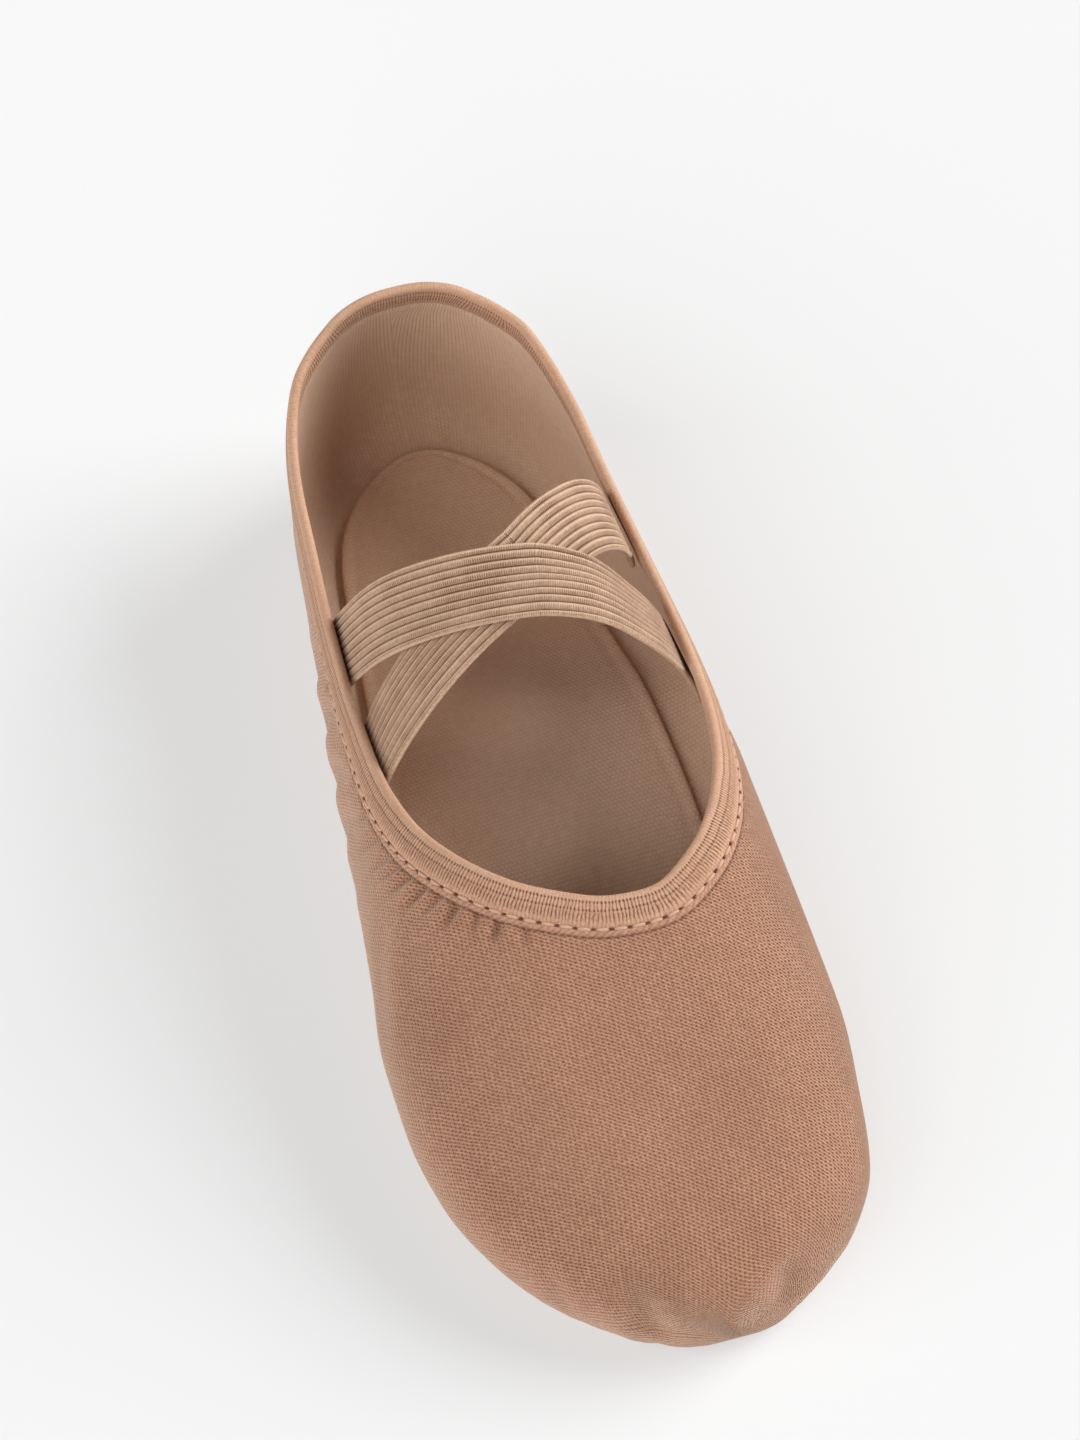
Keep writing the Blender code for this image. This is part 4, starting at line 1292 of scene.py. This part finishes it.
def strapFinish():
    f = Finish("ribbed elastic", straps["colour"], 0.78, sheen=0.25, sheenRoughness=0.35,
               sheenTint=(1.0, 0.82, 0.66, 1.0))
    light, dark = straps["light"], straps["dark"]
    travel, number = f.place("band")
    rib = abs((number * math.pi).sine())
    groove = (1 - rib) ** 2.0 * number.above(0.5) * number.below(len(straps["grooves"]) - 1.5)
    inRib = number % 1.0
    fleck = f.noise(0.0007, detail=2.0)
    patch = f.noise(0.008, detail=1.5)
    wander = f.noise(0.003, detail=1.0)
    pick = abs(((travel * (1 / straps["pickPitch"]) + (wander - 0.5) * 1.2) * math.pi).sine())
    # the lower part of each rib is a loose knit, the upper part a smooth cord
    knit = peak(inRib, 0.36, 3.2)
    cord = peak(inRib, 0.78, 6.0)
    worn = ((patch - 0.40) * 4.0).atLeast(0.0).atMost(1.0)
    colour = f.mix((fleck - 0.5) * 1.6 + 0.38, straps["colour"], light)
    # painted highlight along each cord
    colour = f.mix(cord * 0.60, colour, light)
    colour = f.mix(((1 - pick) * (0.14 + knit * 1.1) * (worn * 0.75 + 0.30)).atMost(0.90),
                   colour, dark)
    # painted shade in the grooves between the ribs and over the lower knit
    colour = f.mix((groove * (1.0 + worn * 0.3) + knit * 0.26).atMost(0.95), colour, dark)
    f.drive("Base Color", colour)
    f.drive("Roughness", 0.76 + groove * 0.15)
    f.drive("Normal", f.bump(pick * (0.4 + knit * 0.6) - knit * 0.5 + cord * 0.3 + fleck * 0.35,
                             0.00024, 0.9))
    return f.material


def suedeFinish():
    f = Finish("suede", sole["colour"], 0.95, sheen=0.25, sheenRoughness=0.6)
    nap = f.noise(0.0006, detail=4.0, roughness=0.7)
    brushed = f.noise(0.004, detail=3.0, stretch=(1, 0.7, 1))
    tone = f.noise(0.020, detail=2.0)
    colour = f.mix((brushed - 0.5) * 0.8 + 0.45, sole["colour"], sole["light"])
    colour = f.mix(((nap - 0.5) * 1.2 + (tone - 0.5) * 0.9 + 0.3).atMost(1.0), colour,
                   sole["dark"])
    f.drive("Base Color", colour)
    f.drive("Normal", f.bump(nap * 0.7 + brushed * 0.25, 0.00022, 0.7))
    return f.material


def threadFinish(name, colour):
    f = Finish(name, colour, 0.7, sheen=0.05)
    twist = f.noise(0.0004, detail=2.0)
    darker = tuple(min(1.0, c * 0.72) for c in colour[:3]) + (1.0,)
    f.drive("Base Color", f.mix((twist - 0.5) * 0.9 + 0.3, colour, darker))
    f.drive("Normal", f.bump(twist, 0.0001, 0.5))
    return f.material


# Camera: the angle and the framing of the photograph
camera = {
    "azimuth": -11.0,
    "elevation": 56.0,
    "roll": 5.0,
    "distance": 1.3,
    "pixelsPerMetre": 5000.0,  # at the target
    "target": (0.0, -0.020, 0.025),
    "targetPixel": (569.0, 885.0),
    "imageSize": (1080, 1440),
}


def makeCamera():
    azimuth = math.radians(camera["azimuth"])
    elevation = math.radians(camera["elevation"])
    roll = math.radians(camera["roll"])
    back = Vector((math.sin(azimuth) * math.cos(elevation),
                   -math.cos(azimuth) * math.cos(elevation), math.sin(elevation)))
    right = Vector((math.cos(azimuth), math.sin(azimuth), 0))
    up = back.cross(right)
    right, up = (math.cos(roll) * right - math.sin(roll) * up,
                 math.sin(roll) * right + math.cos(roll) * up)
    place = Vector(camera["target"]) + back * camera["distance"]
    # aimed at what lies in the middle of the image
    width, height = camera["imageSize"]
    reach = camera["pixelsPerMetre"] * camera["distance"]
    aside = (width / 2 - camera["targetPixel"][0]) / reach
    above = (camera["targetPixel"][1] - height / 2) / reach
    forward = (-back + right * aside + up * above).normalized()
    back = -forward
    right = up.cross(back).normalized()
    up = back.cross(right)
    data = bpy.data.cameras.new("camera")
    data.sensor_fit = "AUTO"
    data.sensor_width = 36
    data.lens = 36 * reach / height
    thing = show("camera", data)
    thing.matrix_world = Matrix.Translation(place) @ Matrix((right, up, back)).transposed().to_4x4()
    bpy.context.scene.camera = thing


# Studio: pale floor, a large soft key from the right, softer fill from the left and above
studio = {
    "floorColour": (0.38, 0.38, 0.38, 1.0),
    "floorGlow": 0.480,  # a lit sweep: the floor keeps its tone away from the shoe
    "skyColour": (1.0, 1.0, 1.0, 1.0),
    "skyStrength": 0.12,
    "keyPower": 4.4,
    "keyFrom": (0.92, 0.10, 0.48),
    "keyAngle": 46.0,
    "fillPower": 3.55,
    "fillFrom": (-0.80, -0.50, 0.34),
    "fillAngle": 90.0,
}


def softSun(name, source, angle, power):
    data = bpy.data.lights.new(name, "SUN")
    data.angle = math.radians(angle)
    data.energy = power
    thing = show(name, data)
    thing.rotation_euler = Vector(source).to_track_quat("Z", "Y").to_euler()
    thing.location = Vector(source)


def makeStudio():
    finish = Finish("pale floor", studio["floorColour"], 0.9)
    finish.drive("Emission Color", (1.0, 1.0, 1.0, 1.0))
    finish.drive("Emission Strength", studio["floorGlow"])
    mesh = bpy.data.meshes.new("floor")
    mesh.from_pydata([(-6, -6, 0), (6, -6, 0), (6, 6, 0), (-6, 6, 0)], [], [(0, 1, 2, 3)])
    mesh.materials.append(finish.material)
    floor = show("floor", mesh)
    world = bpy.data.worlds.new("studio")
    bpy.context.scene.world = world
    world.use_nodes = True
    sky = world.node_tree.nodes["Background"]
    sky.inputs[0].default_value = studio["skyColour"]
    sky.inputs[1].default_value = studio["skyStrength"]
    for name in ("key", "fill"):
        softSun(name, studio[name + "From"], studio[name + "Angle"], studio[name + "Power"])
    bpy.context.scene.view_settings.view_transform = "Standard"


makeCamera()
makeStudio()
print("camera and studio set")

canvasMaterial = canvasFinish()
liningMaterial = liningFinish("cloth")
insoleMaterial = liningFinish("band")
strapMaterial = strapFinish()
suedeMaterial = suedeFinish()
threadMaterial = threadFinish("sewing thread", thread["colour"])
holeShadeMaterial = threadFinish("needle hole", thread["hole"])
makeUpper([canvasMaterial, liningMaterial])
makeBinding([bindingFinish(collarLength())])
for strapName in strapTable:
    makeStrap(strapName, [strapMaterial])
makeCollarStitches(threadMaterial, holeShadeMaterial)
for padName in solePads:
    makeSolePad(padName, suedeMaterial, threadMaterial)
makeInsole(insoleMaterial)
